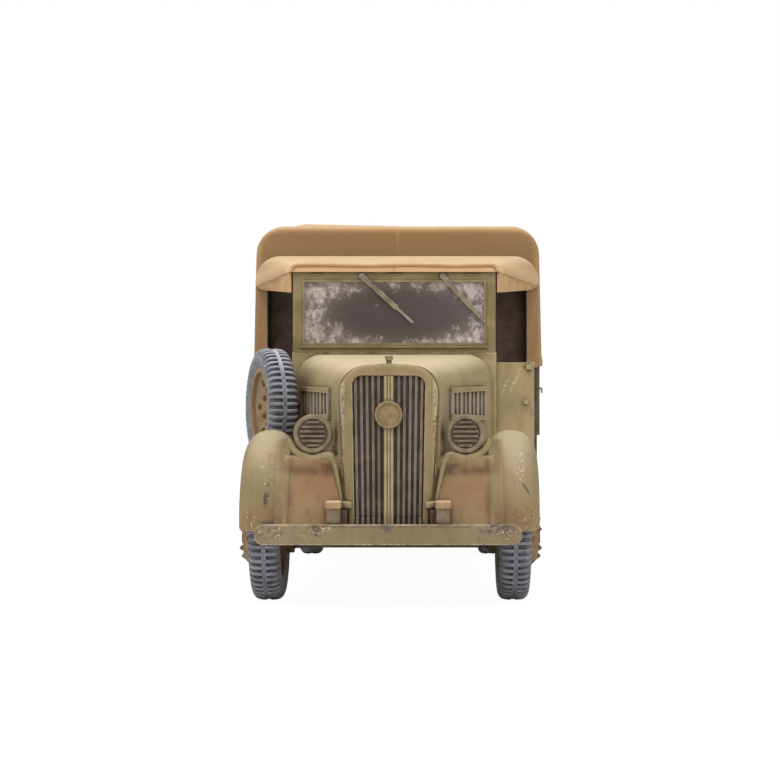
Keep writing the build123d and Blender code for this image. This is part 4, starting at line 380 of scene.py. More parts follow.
def patch(tree, centre, half, turn=0.0):
    """1 inside an ellipsoid at centre with half axes half, both in mm, 0 outside it; turn is
    in degrees about Y."""
    place = add_node(tree, "ShaderNodeTexCoord")
    shifted = add_node(tree, "ShaderNodeVectorMath", {0: place.outputs["Object"],
                                                      1: np.array(centre) * MM},
                       operation="SUBTRACT")
    turned_by = add_node(tree, "ShaderNodeMapping", {"Vector": shifted.outputs[0],
                                                     "Rotation": (0, math.radians(turn), 0)})
    scaled = add_node(tree, "ShaderNodeVectorMath", {0: turned_by.outputs[0],
                                                     1: np.array(half) * MM},
                      operation="DIVIDE")
    reach = add_node(tree, "ShaderNodeVectorMath", {0: scaled.outputs[0]}, operation="LENGTH")
    return window(tree, reach.outputs["Value"], 0.45, 1.0, 1.0, 0.0)


def zone(tree, low, high, soft):
    """1 inside the box from low to high in mm, with |x| for x, fading over soft mm at its
    faces: the product of a rising and a falling window in each direction."""
    place = add_node(tree, "ShaderNodeTexCoord")
    parts = add_node(tree, "ShaderNodeSeparateXYZ", {0: place.outputs["Object"]})
    across = add_node(tree, "ShaderNodeMath", {0: parts.outputs["X"]}, operation="ABSOLUTE")
    inside = None
    for value, start, end in zip((across.outputs[0], parts.outputs["Y"], parts.outputs["Z"]),
                                 low, high):
        for edge, before, past in ((start, 0.0, 1.0), (end, 1.0, 0.0)):
            step = window(tree, value, (edge - soft) * MM, (edge + soft) * MM, before, past)
            inside = step if inside is None else combine(tree, "MULTIPLY", inside, step)
    return inside


# %% [markdown]
# ## One recipe for every painted part
# A modeller lays the coats in this order: sprayed colour, thin streaks of wash, dust on what
# faces up, washes over whole areas, wash in the recesses, pale paint brushed over the edges,
# chips, and last the specks. Here the pale on what faces up is dust and also a painted
# highlight from the light above, some of the areas are painted shade and some painted
# highlight, and the wash in the recesses is also painted shade. The layers below have the same
# order, so that a later coat hides an earlier one. A fine grain in the bump gives the matt look
# of sprayed acrylic.

# %% The painted finish
STREAK_MM, STREAK_SHARE = 0.8, 0.35
RECESS_CLOUD_MM, BRUSH_CLOUD_MM = 1.1, 1.6
CHIP_MM, SPECK_MM = 0.45, 0.28
RECESS_OPEN, RECESS_DEEP = 0.92, 0.35  # share of open sky that a recess sees
EDGE_SHARP, EDGE_FLAT = 0.35, 0.85  # share of solid within reach behind an edge
OCCLUSION_SAMPLES = 6
ACRYLIC_IOR = 1.48
GRAIN_HEIGHT = 0.03  # mm


def painted(name, coat, cloudy, wash_and_shade, pale, chip, *, cloud_mm=5.0, wash_and_shade_mm=0.9, wash_and_shade_amount=1.0,
            edge_mm=0.22, edge_amount=0.7, dust_and_top_light=0.25, chips=0.5, roughness=0.72, grain_mm=0.12,
            marks=(), zones=(), specks=0.0):
    """Sprayed matt acrylic. coat and cloudy mix in clouds. The wash colour lies in recesses no
    wider than the given reach, as a wash and as painted shade. pale lies on edges, and on what
    faces up as dust and as a painted highlight from the light above. chip shows where edges
    have lost paint. marks are (centre, half axes, turn, colour, threshold, blob size) of single
    patches, and zones are (low, high, soft, colour, amount, blob size) of boxes laid under the
    wash; some zones are painted shade and some painted highlight."""
    material = bpy.data.materials.new(name)
    tree = clear_tree(material)
    tone = layer(tree, linear(coat), linear(cloudy),
                 window(tree, cloud(tree, cloud_mm, detail=3), 0.35, 0.65))
    streak = cloud(tree, STREAK_MM, stretch=(1, 1, 0.22), detail=5)
    tone = layer(tree, tone, linear(wash_and_shade), window(tree, streak, 0.52, 0.8, 0.0, STREAK_SHARE))
    # dust on what faces up, and with it a painted highlight where the light from above falls on
    # the tops
    if dust_and_top_light:
        facing = add_node(tree, "ShaderNodeSeparateXYZ",
                          {0: add_node(tree, "ShaderNodeNewGeometry").outputs["Normal"]})
        up = window(tree, facing.outputs["Z"], 0.35, 1.0, 0.0, dust_and_top_light)
        tone = layer(tree, tone, linear(pale), up)
    for low, high, soft, colour, amount, blob in zones:
        here = zone(tree, low, high, soft)
        if blob:
            here = combine(tree, "MULTIPLY", here,
                           window(tree, cloud(tree, blob, detail=5), 0.3, 0.62))
        tone = layer(tree, tone, linear(colour), combine(tree, "MULTIPLY", here, amount))
    # the brown in the recesses: a wash, and painted shade where the light does not reach
    recess = add_node(tree, "ShaderNodeAmbientOcclusion", {"Distance": wash_and_shade_mm * MM},
                      samples=OCCLUSION_SAMPLES)
    wash_and_shade_mask = window(tree, recess.outputs["AO"], RECESS_DEEP, RECESS_OPEN, wash_and_shade_amount, 0.0)
    uneven = window(tree, cloud(tree, RECESS_CLOUD_MM), 0.25, 0.6, 0.55, 1)
    tone = layer(tree, tone, linear(wash_and_shade), combine(tree, "MULTIPLY", wash_and_shade_mask, uneven))
    rim = add_node(tree, "ShaderNodeAmbientOcclusion", {"Distance": edge_mm * MM},
                   samples=OCCLUSION_SAMPLES, inside=True, only_local=True)
    worn = window(tree, rim.outputs["AO"], EDGE_SHARP, EDGE_FLAT, 1.0, 0.0)
    brushed = combine(tree, "MULTIPLY", worn,
                      window(tree, cloud(tree, BRUSH_CLOUD_MM), 0.35, 0.62))
    tone = layer(tree, tone, linear(pale), combine(tree, "MULTIPLY", brushed, edge_amount))
    broken = combine(tree, "MULTIPLY", worn,
                     window(tree, cloud(tree, CHIP_MM, detail=5, offset=(0.3, 0.1, 0.7)),
                            0.62 - 0.1 * chips, 0.66 - 0.1 * chips))
    tone = layer(tree, tone, linear(chip), combine(tree, "MULTIPLY", broken, chips))
    lost = broken
    for centre, half, turn, colour, threshold, blob in marks:
        ragged = window(tree, cloud(tree, blob, detail=6, rough=0.65), threshold,
                        threshold + 0.04)
        here = combine(tree, "MULTIPLY", patch(tree, centre, half, turn), ragged)
        tone = layer(tree, tone, linear(colour), here)
        lost = combine(tree, "MAXIMUM", lost, here)
    if specks:
        small = window(tree, cloud(tree, SPECK_MM, detail=3, offset=(0.9, 0.2, 0.4)),
                       0.68, 0.72)
        tone = layer(tree, tone, linear(pale), combine(tree, "MULTIPLY", small, specks))
    grain = cloud(tree, grain_mm, detail=2)
    height = combine(tree, "SUBTRACT", grain, combine(tree, "MULTIPLY", lost, 0.8))
    bump = add_node(tree, "ShaderNodeBump", {"Height": height, "Distance": GRAIN_HEIGHT * MM,
                                             "Strength": 0.6})
    surface = add_node(tree, "ShaderNodeBsdfPrincipled", {
        "Base Color": tone, "Roughness": roughness, "IOR": ACRYLIC_IOR,
        "Specular IOR Level": 0.3, "Normal": bump.outputs[0]})
    add_node(tree, "ShaderNodeOutputMaterial", {"Surface": surface.outputs[0]})
    return material


SAND, OLIVE, UMBER, BUFF = "94825F", "867851", "4E3B28", "D0C1A0"
PRIMER = "5A4C52"
APRON_BROWN = "8C6B4A"
sprayed_sand = painted("sand_acrylic_on_polystyrene", SAND, OLIVE, UMBER, BUFF, PRIMER,
                       dust_and_top_light=0.55, specks=0.35)
print("first finish:", sprayed_sand.name)

# %% [markdown]
# ## The other finishes
# The wheels have the same paint with more mud, and the grille and the lamp covers were washed
# dark, so that their ribs stand out. The canvas tops are painted a redder tan, and the boards
# and the frame a dull brown. The tyres are painted blue-black: dust and a painted highlight
# grey what stands out, and near-black painted shade lies in the grooves. They shine a little
# more than the bodywork.

# %% Wheels, grille, canvas, boards and tyres
wheel_paint = painted("muddy_sand_acrylic", "8F7A5A", "7C6346", "4A3626", "BFA983", "3E332C",
                      cloud_mm=2.5, wash_and_shade_mm=0.7, dust_and_top_light=0.0, chips=0.3)
grille_paint = painted("dark_washed_acrylic", "74685A", "60554A", "33291F", "958975", "3A3230",
                       cloud_mm=2.0, wash_and_shade_mm=0.55, edge_mm=0.12, edge_amount=0.9, dust_and_top_light=0.0,
                       chips=0.2)
lamp_paint = painted("washed_lamp_acrylic", "85765D", "6F624D", "33281D", "A3957A", "3A3230",
                     cloud_mm=1.2, wash_and_shade_mm=0.3, edge_mm=0.12, edge_amount=0.9, dust_and_top_light=0.0,
                     chips=0.2)
chassis_paint = painted("chassis_brown_acrylic", "6D5B43", "54452F", "2B2019", "8F7C5C",
                        "2C2623", cloud_mm=3.0, wash_and_shade_mm=1.2, dust_and_top_light=0.15, chips=0.2)
canvas_paint = painted("tan_canvas_acrylic", "A17C52", "97744B", "6E4E2D", "CDB592", "8A6A42",
                       cloud_mm=6.0, wash_and_shade_mm=1.2, edge_mm=0.3, edge_amount=0.25, dust_and_top_light=0.5,
                       chips=0.1, grain_mm=0.16)
cargo_paint = painted("brown_timber_acrylic", "73665A", "62554A", "2F2620", "8F8071", "3B302A",
                      cloud_mm=4.0, wash_and_shade_mm=0.8, dust_and_top_light=0.2, chips=0.35)
seat_paint = painted("brown_leather_acrylic", "6A4B34", "57402D", "2C2019", "86684C", "2E241D",
                     cloud_mm=2.5, wash_and_shade_mm=0.8, dust_and_top_light=0.1, chips=0.1, roughness=0.6)
lamp_red = painted("red_lens_acrylic", "7E1F18", "661812", "2A0D0A", "9A463A", "3A1A16",
                   cloud_mm=0.8, dust_and_top_light=0.0, chips=0.1, roughness=0.4)

# the pale on the lugs' tops and edges is dust and a painted highlight, and the near-black in
# the grooves is painted shade
tyre_paint = painted("blue_black_tyre_acrylic", "78777D", "636268", "1F1A1B", "D0CFD3",
                     "7A6A58", cloud_mm=1.5, wash_and_shade_mm=0.5, edge_mm=0.3, edge_amount=0.9,
                     dust_and_top_light=0.45, chips=0.25, roughness=0.55, specks=0.2)
nut_paint = painted("rusty_nut_acrylic", "6B5543", "5A4636", "2C2019", "8C745C", "3A2A20",
                    cloud_mm=0.8, dust_and_top_light=0.0, edge_amount=0.4, chips=0.1)
print("materials after the tyres:", len(bpy.data.materials))

# %% [markdown]
# ## The tyres
# The moulded tread has a smooth groove round the middle and a row of cross bars on each side
# that run out over the shoulder. The grid goes round the tyre in one direction and round
# its section in the other, and between two bars the tread points sink to the groove.

# %% Tyres with their tread
TYRE_RADIUS = AXLE_Z  # they stand on the floor
TYRE_HALF = 1.75
BARS = 54  # in one row round the tyre
GROOVE_DEPTH = 0.36
CENTRE_GROOVE_HALF = 0.25
# across the tyre, radius, share of the groove depth that the bars have here
TYRE_SECTION = np.array([
    (1.40, 4.72, 0.0), (1.52, 4.82, 0.0), (1.62, 5.02, 0.0), (1.60, 5.16, 0.0),
    (1.72, 5.36, 0.0), (TYRE_HALF, 5.72, 0.0), (1.73, 6.02, 0.0), (1.70, 6.12, 0.0),
    (1.72, 6.20, 0.5), (1.66, 6.42, 0.9), (1.50, 6.70, 1.0), (1.26, 6.90, 1.0),
    (1.12, 6.95, 1.0), (0.80, 7.01, 1.0), (0.48, 7.04, 1.0),
    (CENTRE_GROOVE_HALF + 0.06, TYRE_RADIUS, 1.0), (CENTRE_GROOVE_HALF - 0.02, 6.96, 0.0)])
# where each step round the tyre stands within one bar and its groove, and how deep it is
BAR_STEPS = np.array([(0.02, 0.4), (0.10, 0.08), (0.26, 0.0), (0.42, 0.08), (0.50, 0.4),
                      (0.58, 1.0), (0.94, 1.0)])


def tyre_surface(centre, axis):
    """Ring of sections: p = c + u*k + (r - g*s*w)*(cos t*i + sin t*j), where (u, r) is the
    section and s its share of the groove depth g. w is 1 between bars and 0 on them."""
    i, j, k = frame_along(axis)
    section = np.concatenate([TYRE_SECTION, TYRE_SECTION[::-1] * (-1, 1, 1)])
    t = (np.arange(BARS)[:, None] + BAR_STEPS[None, :, 0]).ravel() / BARS * 2 * np.pi
    depth = np.tile(BAR_STEPS[:, 1], BARS)
    radius = section[None, :, 1] - GROOVE_DEPTH * section[None, :, 2] * depth[:, None]
    across = np.broadcast_to(section[None, :, 0], radius.shape)
    points = (np.array(centre, float) + across[..., None] * k + radius[..., None]
              * (np.cos(t)[:, None, None] * i + np.sin(t)[:, None, None] * j))
    flat = points.reshape(-1, 3)
    faces = grid_faces(len(t), len(section), wrap_rows=True, wrap_columns=True)
    return flat, outward(flat, faces)


# name, side, y of the axle
ROAD_WHEELS = [("front_left", 1, FRONT_AXLE_Y), ("front_right", -1, FRONT_AXLE_Y),
               ("rear_left", 1, REAR_AXLE_Y), ("rear_right", -1, REAR_AXLE_Y)]
SPARE_CENTRE = np.array([-14.8, behind(11.4), 21.95])
SPARE_TURN = math.radians(20)
SPARE_OUT = np.array([-math.cos(SPARE_TURN), -math.sin(SPARE_TURN), 0.0])
for wheel, side, y in ROAD_WHEELS:
    piece(f"tread_{wheel}", tyre_surface((side * TRACK / 2, y, AXLE_Z), (side, 0, 0)),
          f"wheel_{wheel}_body", tyre_paint, replaces=[f"tyre_{wheel}"])
piece("tread_spare", tyre_surface(SPARE_CENTRE, SPARE_OUT), "chassis", tyre_paint,
      replaces=["spare_tyre"])
print("tyres:", len(made_pieces))

# %% [markdown]
# ## Wheel nuts
# Each disc is held by six nuts. A nut is a turned profile of six sides on a round washer,
# with the end of its stud standing out.

# %% Nuts on the discs
NUTS, NUT_CIRCLE = 6, 2.1
NUT_RADIUS = NUT_HEIGHT = 0.3
FRONT_CROWN = TYRE_HALF + 1.0  # crown of the front discs, from the wheel's middle plane
REAR_CROWN = TYRE_HALF - 1.5


def hex_nut(centre, direction):
    """Washer, six-sided nut with a chamfered top, and a stud end, along direction."""
    radius, height = NUT_RADIUS, NUT_HEIGHT
    washer = turned([(-0.06, 0), (-0.06, radius * 1.3), (0.05, radius * 1.3), (0.05, 0)],
                    centre, direction, 14)
    nut = turned([(-0.02, 0), (-0.02, radius), (height * 0.8, radius), (height, radius * 0.8),
                  (height, 0)], centre, direction, 6, start=0.3)
    stud = turned([(0, 0), (0, radius * 0.45), (height * 1.35, radius * 0.42),
                   (height * 1.45, radius * 0.25), (height * 1.45, 0)], centre, direction, 10)
    return joined(washer, nut, stud)


def nut_ring(centre, axis, crown):
    """Nuts at equal angles t on a circle in the disc's crown plane: p = c + crown*k +
    circle*(cos t*i + sin t*j)."""
    i, j, k = frame_along(axis)
    t = 2 * np.pi * (np.arange(NUTS) + 0.5) / NUTS
    places = (np.array(centre, float) + crown * k
              + NUT_CIRCLE * (np.cos(t)[:, None] * i + np.sin(t)[:, None] * j))
    return joined(*[hex_nut(place, k) for place in places])


for wheel, side, y in ROAD_WHEELS:
    crown = FRONT_CROWN if "front" in wheel else REAR_CROWN
    piece(f"nuts_{wheel}", nut_ring((side * TRACK / 2, y, AXLE_Z), (side, 0, 0), crown),
          f"wheel_{wheel}_body", nut_paint)
piece("nuts_spare", nut_ring(SPARE_CENTRE, SPARE_OUT, REAR_CROWN), "chassis",
      nut_paint)
print("nuts on each disc:", NUTS)

# %% [markdown]
# ## The canvas tops
# Both tops are moulded hard, but show what cloth does: it sags between the hoops, keeps a
# ridge over each one, hangs in shallow folds down the sides and ends in a sewn hem.

# %% The section of a top and its folds
def top_outline(half, top, foot, corner, lean, samples):
    """Left foot, up the side, round the corner, over the roof and down again, sampled at
    equal steps of length. Columns are x, z and the share of the way round."""
    t = np.linspace(0, np.pi / 2, 10)[::-1]
    arc_x = -half + lean + corner * (1 - np.sin(t))
    arc_z = top - corner * (1 - np.cos(t))
    left = np.stack([np.r_[-half, arc_x], np.r_[foot, arc_z]], axis=1)
    whole = np.concatenate([left, left[::-1] * (-1, 1)])
    length = np.r_[0, np.cumsum(np.linalg.norm(np.diff(whole, axis=0), axis=1))]
    share = np.linspace(0, 1, samples)
    at = share * length[-1]
    return np.stack([np.interp(at, length, whole[:, 0]), np.interp(at, length, whole[:, 1]),
                     share], axis=1)


def ridge(distance, half_width):
    """A low rounded ridge: (1 - (d / w)^2)^2 inside its half width and 0 outside it."""
    inside = np.clip(1 - (distance / half_width) ** 2, 0, None)
    return inside ** 2


# %% [markdown]
# ## The tilt over the load bed
# It is a grid of points: one direction goes round the section, the other from the front wall
# to the rear edge. Each point moves along its normal by a sum of small terms, which are the
# sag between hoops, the ridge on a hoop, the folds, the hem and a hump in the roof.

# %% The tilt
TILT_HALF, TILT_FOOT, TILT_CORNER, TILT_LEAN, TILT_WALL = 20.0, 28.13, 3.9, 0.35, 0.65
TILT_FRONT, TILT_REAR, TILT_RIM = 38.0, 79.3, 0.9
HOOP_PLACES = np.array([38.9, 51.5, 65.4, 77.1])
HOOP_REACH = 6.0  # a hoop holds the cloth up this far from it
SAG, FOLD_DEPTH = 0.30, 0.13
HEM_THICKNESS, HEM_HEIGHT = 0.12, 1.1
HOOP_RIDGE, HOOP_RIDGE_HALF = 0.12, 0.55
HUMP, HUMP_PLACE, HUMP_LENGTH = 0.6, 51.0, 5.0
HUMP_START_X, HUMP_CLIMB, HUMP_END_X, HUMP_FALL = -16.8, 3.0, 14, 28
HUMP_FOOT = 44  # height, in mm above the floor, from which the hump may show
FRONT_RIPPLE, FRONT_RIPPLE_RATE = 0.10, 0.45
SIDE_BLEND = 6  # over this width next to the side a point moves sideways too
ROOF_FOOT, ROOF_BLEND = 40, 7  # and above this height it moves upwards too
FOLD_TOP, FOLD_GROWTH = 46, 18  # the folds grow from this height downwards
HEM_EDGE = 0.15
RIM_SHARE = 0.3  # of the movement reaches the rounded front rim
AROUND, ALONG = 101, 84  # points of the grid
# distance behind the front axle, height of the roof there
ROOF_LINE = np.array([(38.0, 47.5), (38.9, 47.5), (51.5, 49.0), (79.3, 48.4)])
rng = np.random.default_rng(56)
FOLDS = [(rng.uniform(0.5, 1.4), rng.uniform(0, 2 * np.pi), rng.uniform(-0.25, 0.25))
         for _ in range(5)]


def fold_height(along, drop):
    """Sum of five slanting waves, sin(f*along + s*drop + phase), that grow down the side."""
    total = sum(np.sin(rate * along + slant * drop + phase) for rate, phase, slant in FOLDS)
    return total / len(FOLDS)


def tilt_grid(inset):
    """Rows of the tilt from the middle of its front over the rim to its rear edge:
    p = (x, z) + n*(-sag + folds + hem + hump + ridge), where n is the rough normal."""
    rim = np.linspace(0, np.pi / 2, 5)[:-1]
    front = [(TILT_FRONT, TILT_RIM, share) for share in (0.02, 0.25, 0.5, 0.75)]
    round_rim = [(TILT_FRONT + TILT_RIM * (1 - math.cos(a)), TILT_RIM * (1 - math.sin(a)), 1.0)
                 for a in rim]
    back = [(place, 0.0, 1.0) for place in
            np.unique(np.r_[np.linspace(HOOP_PLACES[0], TILT_REAR, ALONG), HOOP_PLACES])]
    rows = []
    for place, shrink, share in front + round_rim + back:
        roof = np.interp(place, ROOF_LINE[:, 0], ROOF_LINE[:, 1]) - shrink - inset
        line = top_outline(TILT_HALF - shrink - inset, roof, TILT_FOOT, TILT_CORNER - shrink,
                           TILT_LEAN, AROUND)
        x, z = line[:, 0] * share, TILT_FOOT + (line[:, 1] - TILT_FOOT) * share
        gap = np.abs(HOOP_PLACES - place).min()
        nearest = np.clip(gap / HOOP_REACH, 0, 1)
        sag = SAG * np.sin(nearest * np.pi / 2) ** 2
        beside = np.clip((np.abs(x) - TILT_HALF + SIDE_BLEND) / SIDE_BLEND, 0, 1)
        normal = np.stack([np.sign(x) * beside,
                           np.clip((z - ROOF_FOOT) / ROOF_BLEND, 0, 1)], axis=1)
        drop = np.clip((FOLD_TOP - z) / FOLD_GROWTH, 0, 1)
        folds = FOLD_DEPTH * fold_height(place, FOLD_TOP - z) * drop * nearest
        climb = np.clip((x - HUMP_START_X) / HUMP_CLIMB, 0, 1)
        hump = HUMP * climb ** 2 * (3 - 2 * climb) * np.clip((HUMP_END_X - x) / HUMP_FALL, 0, 1)
        hump = hump * np.exp(-((place - HUMP_PLACE) / HUMP_LENGTH) ** 2)
        hem = HEM_THICKNESS * np.clip((TILT_FOOT + HEM_HEIGHT - z) / HEM_EDGE, 0, 1)
        lift = (-sag + folds + hem + hump * (z > HUMP_FOOT)
                + HOOP_RIDGE * ridge(gap, HOOP_RIDGE_HALF))
        lift = lift * (share == 1.0) * (1.0 if shrink == 0 else RIM_SHARE)
        rows.append(np.stack([x + normal[:, 0] * lift, np.full_like(x, behind(place)),
                              z + normal[:, 1] * lift], axis=1))
    rows = np.array(rows)
    flat_front = rows[:len(front)]
    ripple = FRONT_RIPPLE * np.sin(flat_front[:, :, 0] * FRONT_RIPPLE_RATE) * (inset == 0)
    flat_front[:, :, 1] += inset + ripple
    return rows


tilt_paint = painted("tan_tilt_acrylic", "A07B50", "97724A", "6E4E2D", "C9AC84", "8A6A42",
                     cloud_mm=7.0, wash_and_shade_mm=0.9, wash_and_shade_amount=0.5, edge_amount=0.0, chips=0.0,
                     dust_and_top_light=0.6, grain_mm=0.16, zones=[
                         # painted shade: the tilt's front face is darkened, as it is turned
                         # away from the light above
                         ((0.0, behind(37.0), 36.0), (19.1, behind(38.3), 46.7), 0.45,
                          "806441", 1.0, 0)])
tilt_cover = piece("tilt_cover", shell_between(tilt_grid(0.0), tilt_grid(TILT_WALL)),
                   "chassis", tilt_paint, sharp_degrees=50, replaces=["tilt"])
print("tilt cover:", len(tilt_cover.data.polygons), "faces")

# %% [markdown]
# ## The hood's lip and its dark inside
# The hood ends over the windscreen in a rolled lip, which is a round section swept along the
# hood's front outline. Its inside and the rear wall of the cab are dark brown painted shade:
# thin dark sheets lie on the inner faces. A flap hangs below each side of the hood.

# %% Hood
HOOD_FRONT, HOOD_FULL, HOOD_REAR = 15.4, 33.4, 37.0
HOOD_FRONT_HALF, HOOD_REAR_HALF = 12.9, 19.25
HOOD_FRONT_TOP, HOOD_REAR_TOP, HOOD_FOOT = 39.7, 42.8, 38.66
HOOD_CORNER, HOOD_WALL, HOOD_LEG = 3.4, 0.6, 1.6


def hood_line(place, inset, foot, samples=41):
    """Outline of the hood's section at a distance behind the front axle. Width, height and
    corner go straight from the front's values to those where the hood is full."""
    share = np.clip((place - HOOD_FRONT) / (HOOD_FULL - HOOD_FRONT), 0, 1)
    half = HOOD_FRONT_HALF + share * (HOOD_REAR_HALF - HOOD_FRONT_HALF) - inset
    top = HOOD_FRONT_TOP + share * (HOOD_REAR_TOP - HOOD_FRONT_TOP) - inset
    first = (HOOD_FRONT_TOP - HOOD_FOOT) * 0.8
    corner = first + share * (HOOD_CORNER - first)
    return top_outline(half, top, foot, max(corner - inset, 0.1), 0.0, samples)


LIP_POINTS, LIP_RADIUS, LIP_WAVE = 61, 0.24, 0.05
lip_line = hood_line(HOOD_FRONT, 0.16, HOOD_FOOT + 0.05, LIP_POINTS)
lip_path = np.stack([lip_line[:, 0], np.full(LIP_POINTS, behind(HOOD_FRONT)),
                     lip_line[:, 1]], axis=1)
lip_path[:, 2] += LIP_WAVE * np.sin(lip_path[:, 0] * 0.55 + 0.6)
ring_angles = 2 * np.pi * np.arange(10) / 10
ROUND = np.stack([np.cos(ring_angles), np.sin(ring_angles)], axis=1)
hood_paint = painted(
    "tan_hood_acrylic", "A2815D", "97784F", "6E4E2D", "D2BA96", "8A6A42", cloud_mm=6.0,
    wash_and_shade_mm=1.2, edge_mm=0.3, edge_amount=0.25, dust_and_top_light=0.5, chips=0.1, grain_mm=0.16,
    # painted highlight: the hood's front and both its sides are made paler where the light
    # falls on them
    zones=[((0.0, behind(10.0), 36.0), (20.0, behind(17.5), 39.5), 0.5, "D0AC82", 0.9, 0),
           ((12.0, behind(10.0), 38.6), (21.0, behind(45.0), 40.6), 0.8, "C9A980", 0.6, 0)])
lip_paint = painted("pale_canvas_acrylic", "BC966A", "B08A5E", "7A5733", "D6BE9A", "8A6A42",
                    cloud_mm=3.0, dust_and_top_light=0.4, edge_amount=0.0, chips=0.0)
piece("hood_lip", swept(ROUND * LIP_RADIUS, lip_path), "chassis", lip_paint,
      sharp_degrees=60)
lip_length = np.linalg.norm(np.diff(lip_path, axis=0), axis=1).sum()
print("lip:", round(float(lip_length), 1), "mm along the hood's front")

# %% The dark sheets of painted shade, and the flaps
# Dark brown painted shade for the inside of the cab: the hood's inner faces, its rear wall, the
# cab's back and the dashboard, and the gaps behind the frame's irons.
dark_shade_paint = painted("black_brown_painted_shade", "665043", "54423A", "30251E", "80695A",
                      "5A4A3E", cloud_mm=1.2, edge_amount=0.3, dust_and_top_light=0.0, chips=0.0, specks=0.6)
SHADE_SHEET, SHADE_SHEET_GAP = 0.06, 0.01
shade_sheet_outer, shade_sheet_inner = [], []
for place in (HOOD_FRONT + 1.5, 22.0, 28.0, HOOD_FULL):
    for rows, gap in ((shade_sheet_outer, 0.0), (shade_sheet_inner, SHADE_SHEET)):
        line = hood_line(place, HOOD_WALL + SHADE_SHEET_GAP + gap, HOOD_FOOT + 0.02)
        rows.append(np.stack([line[:, 0], np.full(len(line), behind(place)), line[:, 1]],
                             axis=1))
piece("hood_shade_sheet", shell_between(np.array(shade_sheet_outer), np.array(shade_sheet_inner)), "chassis",
      dark_shade_paint)

CAB_SIDE_TOP = 27.73
rear_y = behind(HOOD_REAR) - HOOD_WALL
inner_half = HOOD_REAR_HALF - HOOD_LEG
leg_shade_sheets = []
for side in (-1, 1):
    x = side * (inner_half - SHADE_SHEET_GAP - SHADE_SHEET / 2)
    leg_shade_sheets.append(slab((x - SHADE_SHEET / 2, behind(HOOD_FULL) + 0.15, CAB_SIDE_TOP + 0.1),
                            (x + SHADE_SHEET / 2, rear_y, HOOD_REAR_TOP - HOOD_CORNER)))
wall_shade_sheet = slab((-inner_half, rear_y - SHADE_SHEET_GAP - SHADE_SHEET, CAB_SIDE_TOP + 0.02),
                   (inner_half, rear_y - SHADE_SHEET_GAP, HOOD_REAR_TOP - HOOD_WALL - 1.0))
piece("hood_wall_shade_sheet", joined(wall_shade_sheet, *leg_shade_sheets), "chassis",
      dark_shade_paint)

piece("tilt_front_hem", slab((-19.0, behind(38.05), 27.0), (19.0, behind(38.5), 28.5)),
      "chassis", canvas_paint)
# x, distance behind the front axle, z
FLAP_CORNERS = [(12.75, 15.95, 38.68), (12.75, 15.95, 36.2), (18.2, 33.3, 38.2),
                (18.9, 33.3, 38.68)]
FLAP_THICKNESS = 0.3
for side_name, side in SIDES:
    flap = plate([(side * x, behind(d), z) for x, d, z in FLAP_CORNERS],
                 FLAP_THICKNESS * side)
    piece(f"hood_flap_{side_name}", flap, "chassis", lip_paint)
print("after the tops:", len(made_pieces), "pieces")

# %% [markdown]
# ## Front fittings
# An apron lies between each mudguard and the shell, and a bead runs over it from the mudguard,
# under the lamp and down beside the shell. A block with a strap closes each front end of the
# frame. First come the finishes, because each of these parts was washed and brushed in its own
# way. The apron carries painted shadow under the lamp and the bead, and both apron and seam
# carry painted shade in the crease by the mudguard.

# %% Finishes of the front fittings
apron_paint = painted(
    "apron_acrylic", "867150", "866546", "4A3324", "B79A70", PRIMER, cloud_mm=4.0,
    edge_amount=0.0, chips=0.0, dust_and_top_light=0.3, specks=0.15, zones=[
        # painted shade: a soft dark line in the crease between apron and mudguard
        ((10.2, behind(-13), 8.0), (10.7, behind(-6), 16.2), 0.3, "5A4530", 0.6, 2.5),
        ((10.85, behind(-13), 8.0), (12.5, behind(-6), 16.4), 0.12, "887656", 0.9, 0),
        # painted shadow under the lamp and under the bead
        ((5.0, behind(-13), 14.3), (8.2, behind(-6), 15.7), 0.35, "4E3626", 0.75, 2.0),
        ((8.0, behind(-13), 14.4), (10.4, behind(-6), 15.2), 0.3, "5E4630", 0.6, 2.0)])
block_paint = painted("iron_acrylic", "7F6F58", "6E5E4A", "3F2F22", "B39F80", PRIMER,
                      cloud_mm=1.5, dust_and_top_light=0.3, chips=0.2, specks=0.3, wash_and_shade_mm=0.8,
                      edge_amount=0.4)
strap_paint = painted("strap_acrylic", "A88C69", "967A59", "5A4030", "DDBE98", PRIMER,
                      cloud_mm=1.0, dust_and_top_light=0.4, edge_amount=0.2, chips=0.0, specks=0.4)
seam_paint = painted(
    "seam_acrylic", "867455", "7C6A4A", "4A3A26", "AE9A72", PRIMER, cloud_mm=4.0, dust_and_top_light=0.3,
    edge_amount=0.0, chips=0.0, zones=[
        # painted shade in the crease between apron and mudguard
        ((10.4, behind(-13), 8.0), (10.95, behind(-6), 17.0), 0.3, "5E4A34", 0.5, 2.5),
        ((10.5, behind(-12), 8.0), (17.0, behind(0), 10.4), 1.2, "8A6244", 0.5, 2.2)])
badge_paint = painted("badge_acrylic", "897453", "7A6849", "4A3A26", "B39C74", PRIMER,
                      cloud_mm=0.8, dust_and_top_light=0.1, edge_amount=0.35, chips=0.0, specks=0.5)
# near-black painted shade for the depth between the grille's foot ribs
gap_shade_paint = painted("grille_gap_painted_shade", "2E2620", "27201A", "1A1410", "3A322A",
                       "1A1410", dust_and_top_light=0.0, edge_amount=0.0, chips=0.0)
bar_paint = painted("grille_bar_acrylic", "9A8A67", "8C7C5B", "4A3A26", "B3A37A", PRIMER,
                    cloud_mm=2.0, dust_and_top_light=0.1, edge_amount=0.15, chips=0.0, specks=0.3)
print("materials after the front:", len(bpy.data.materials))

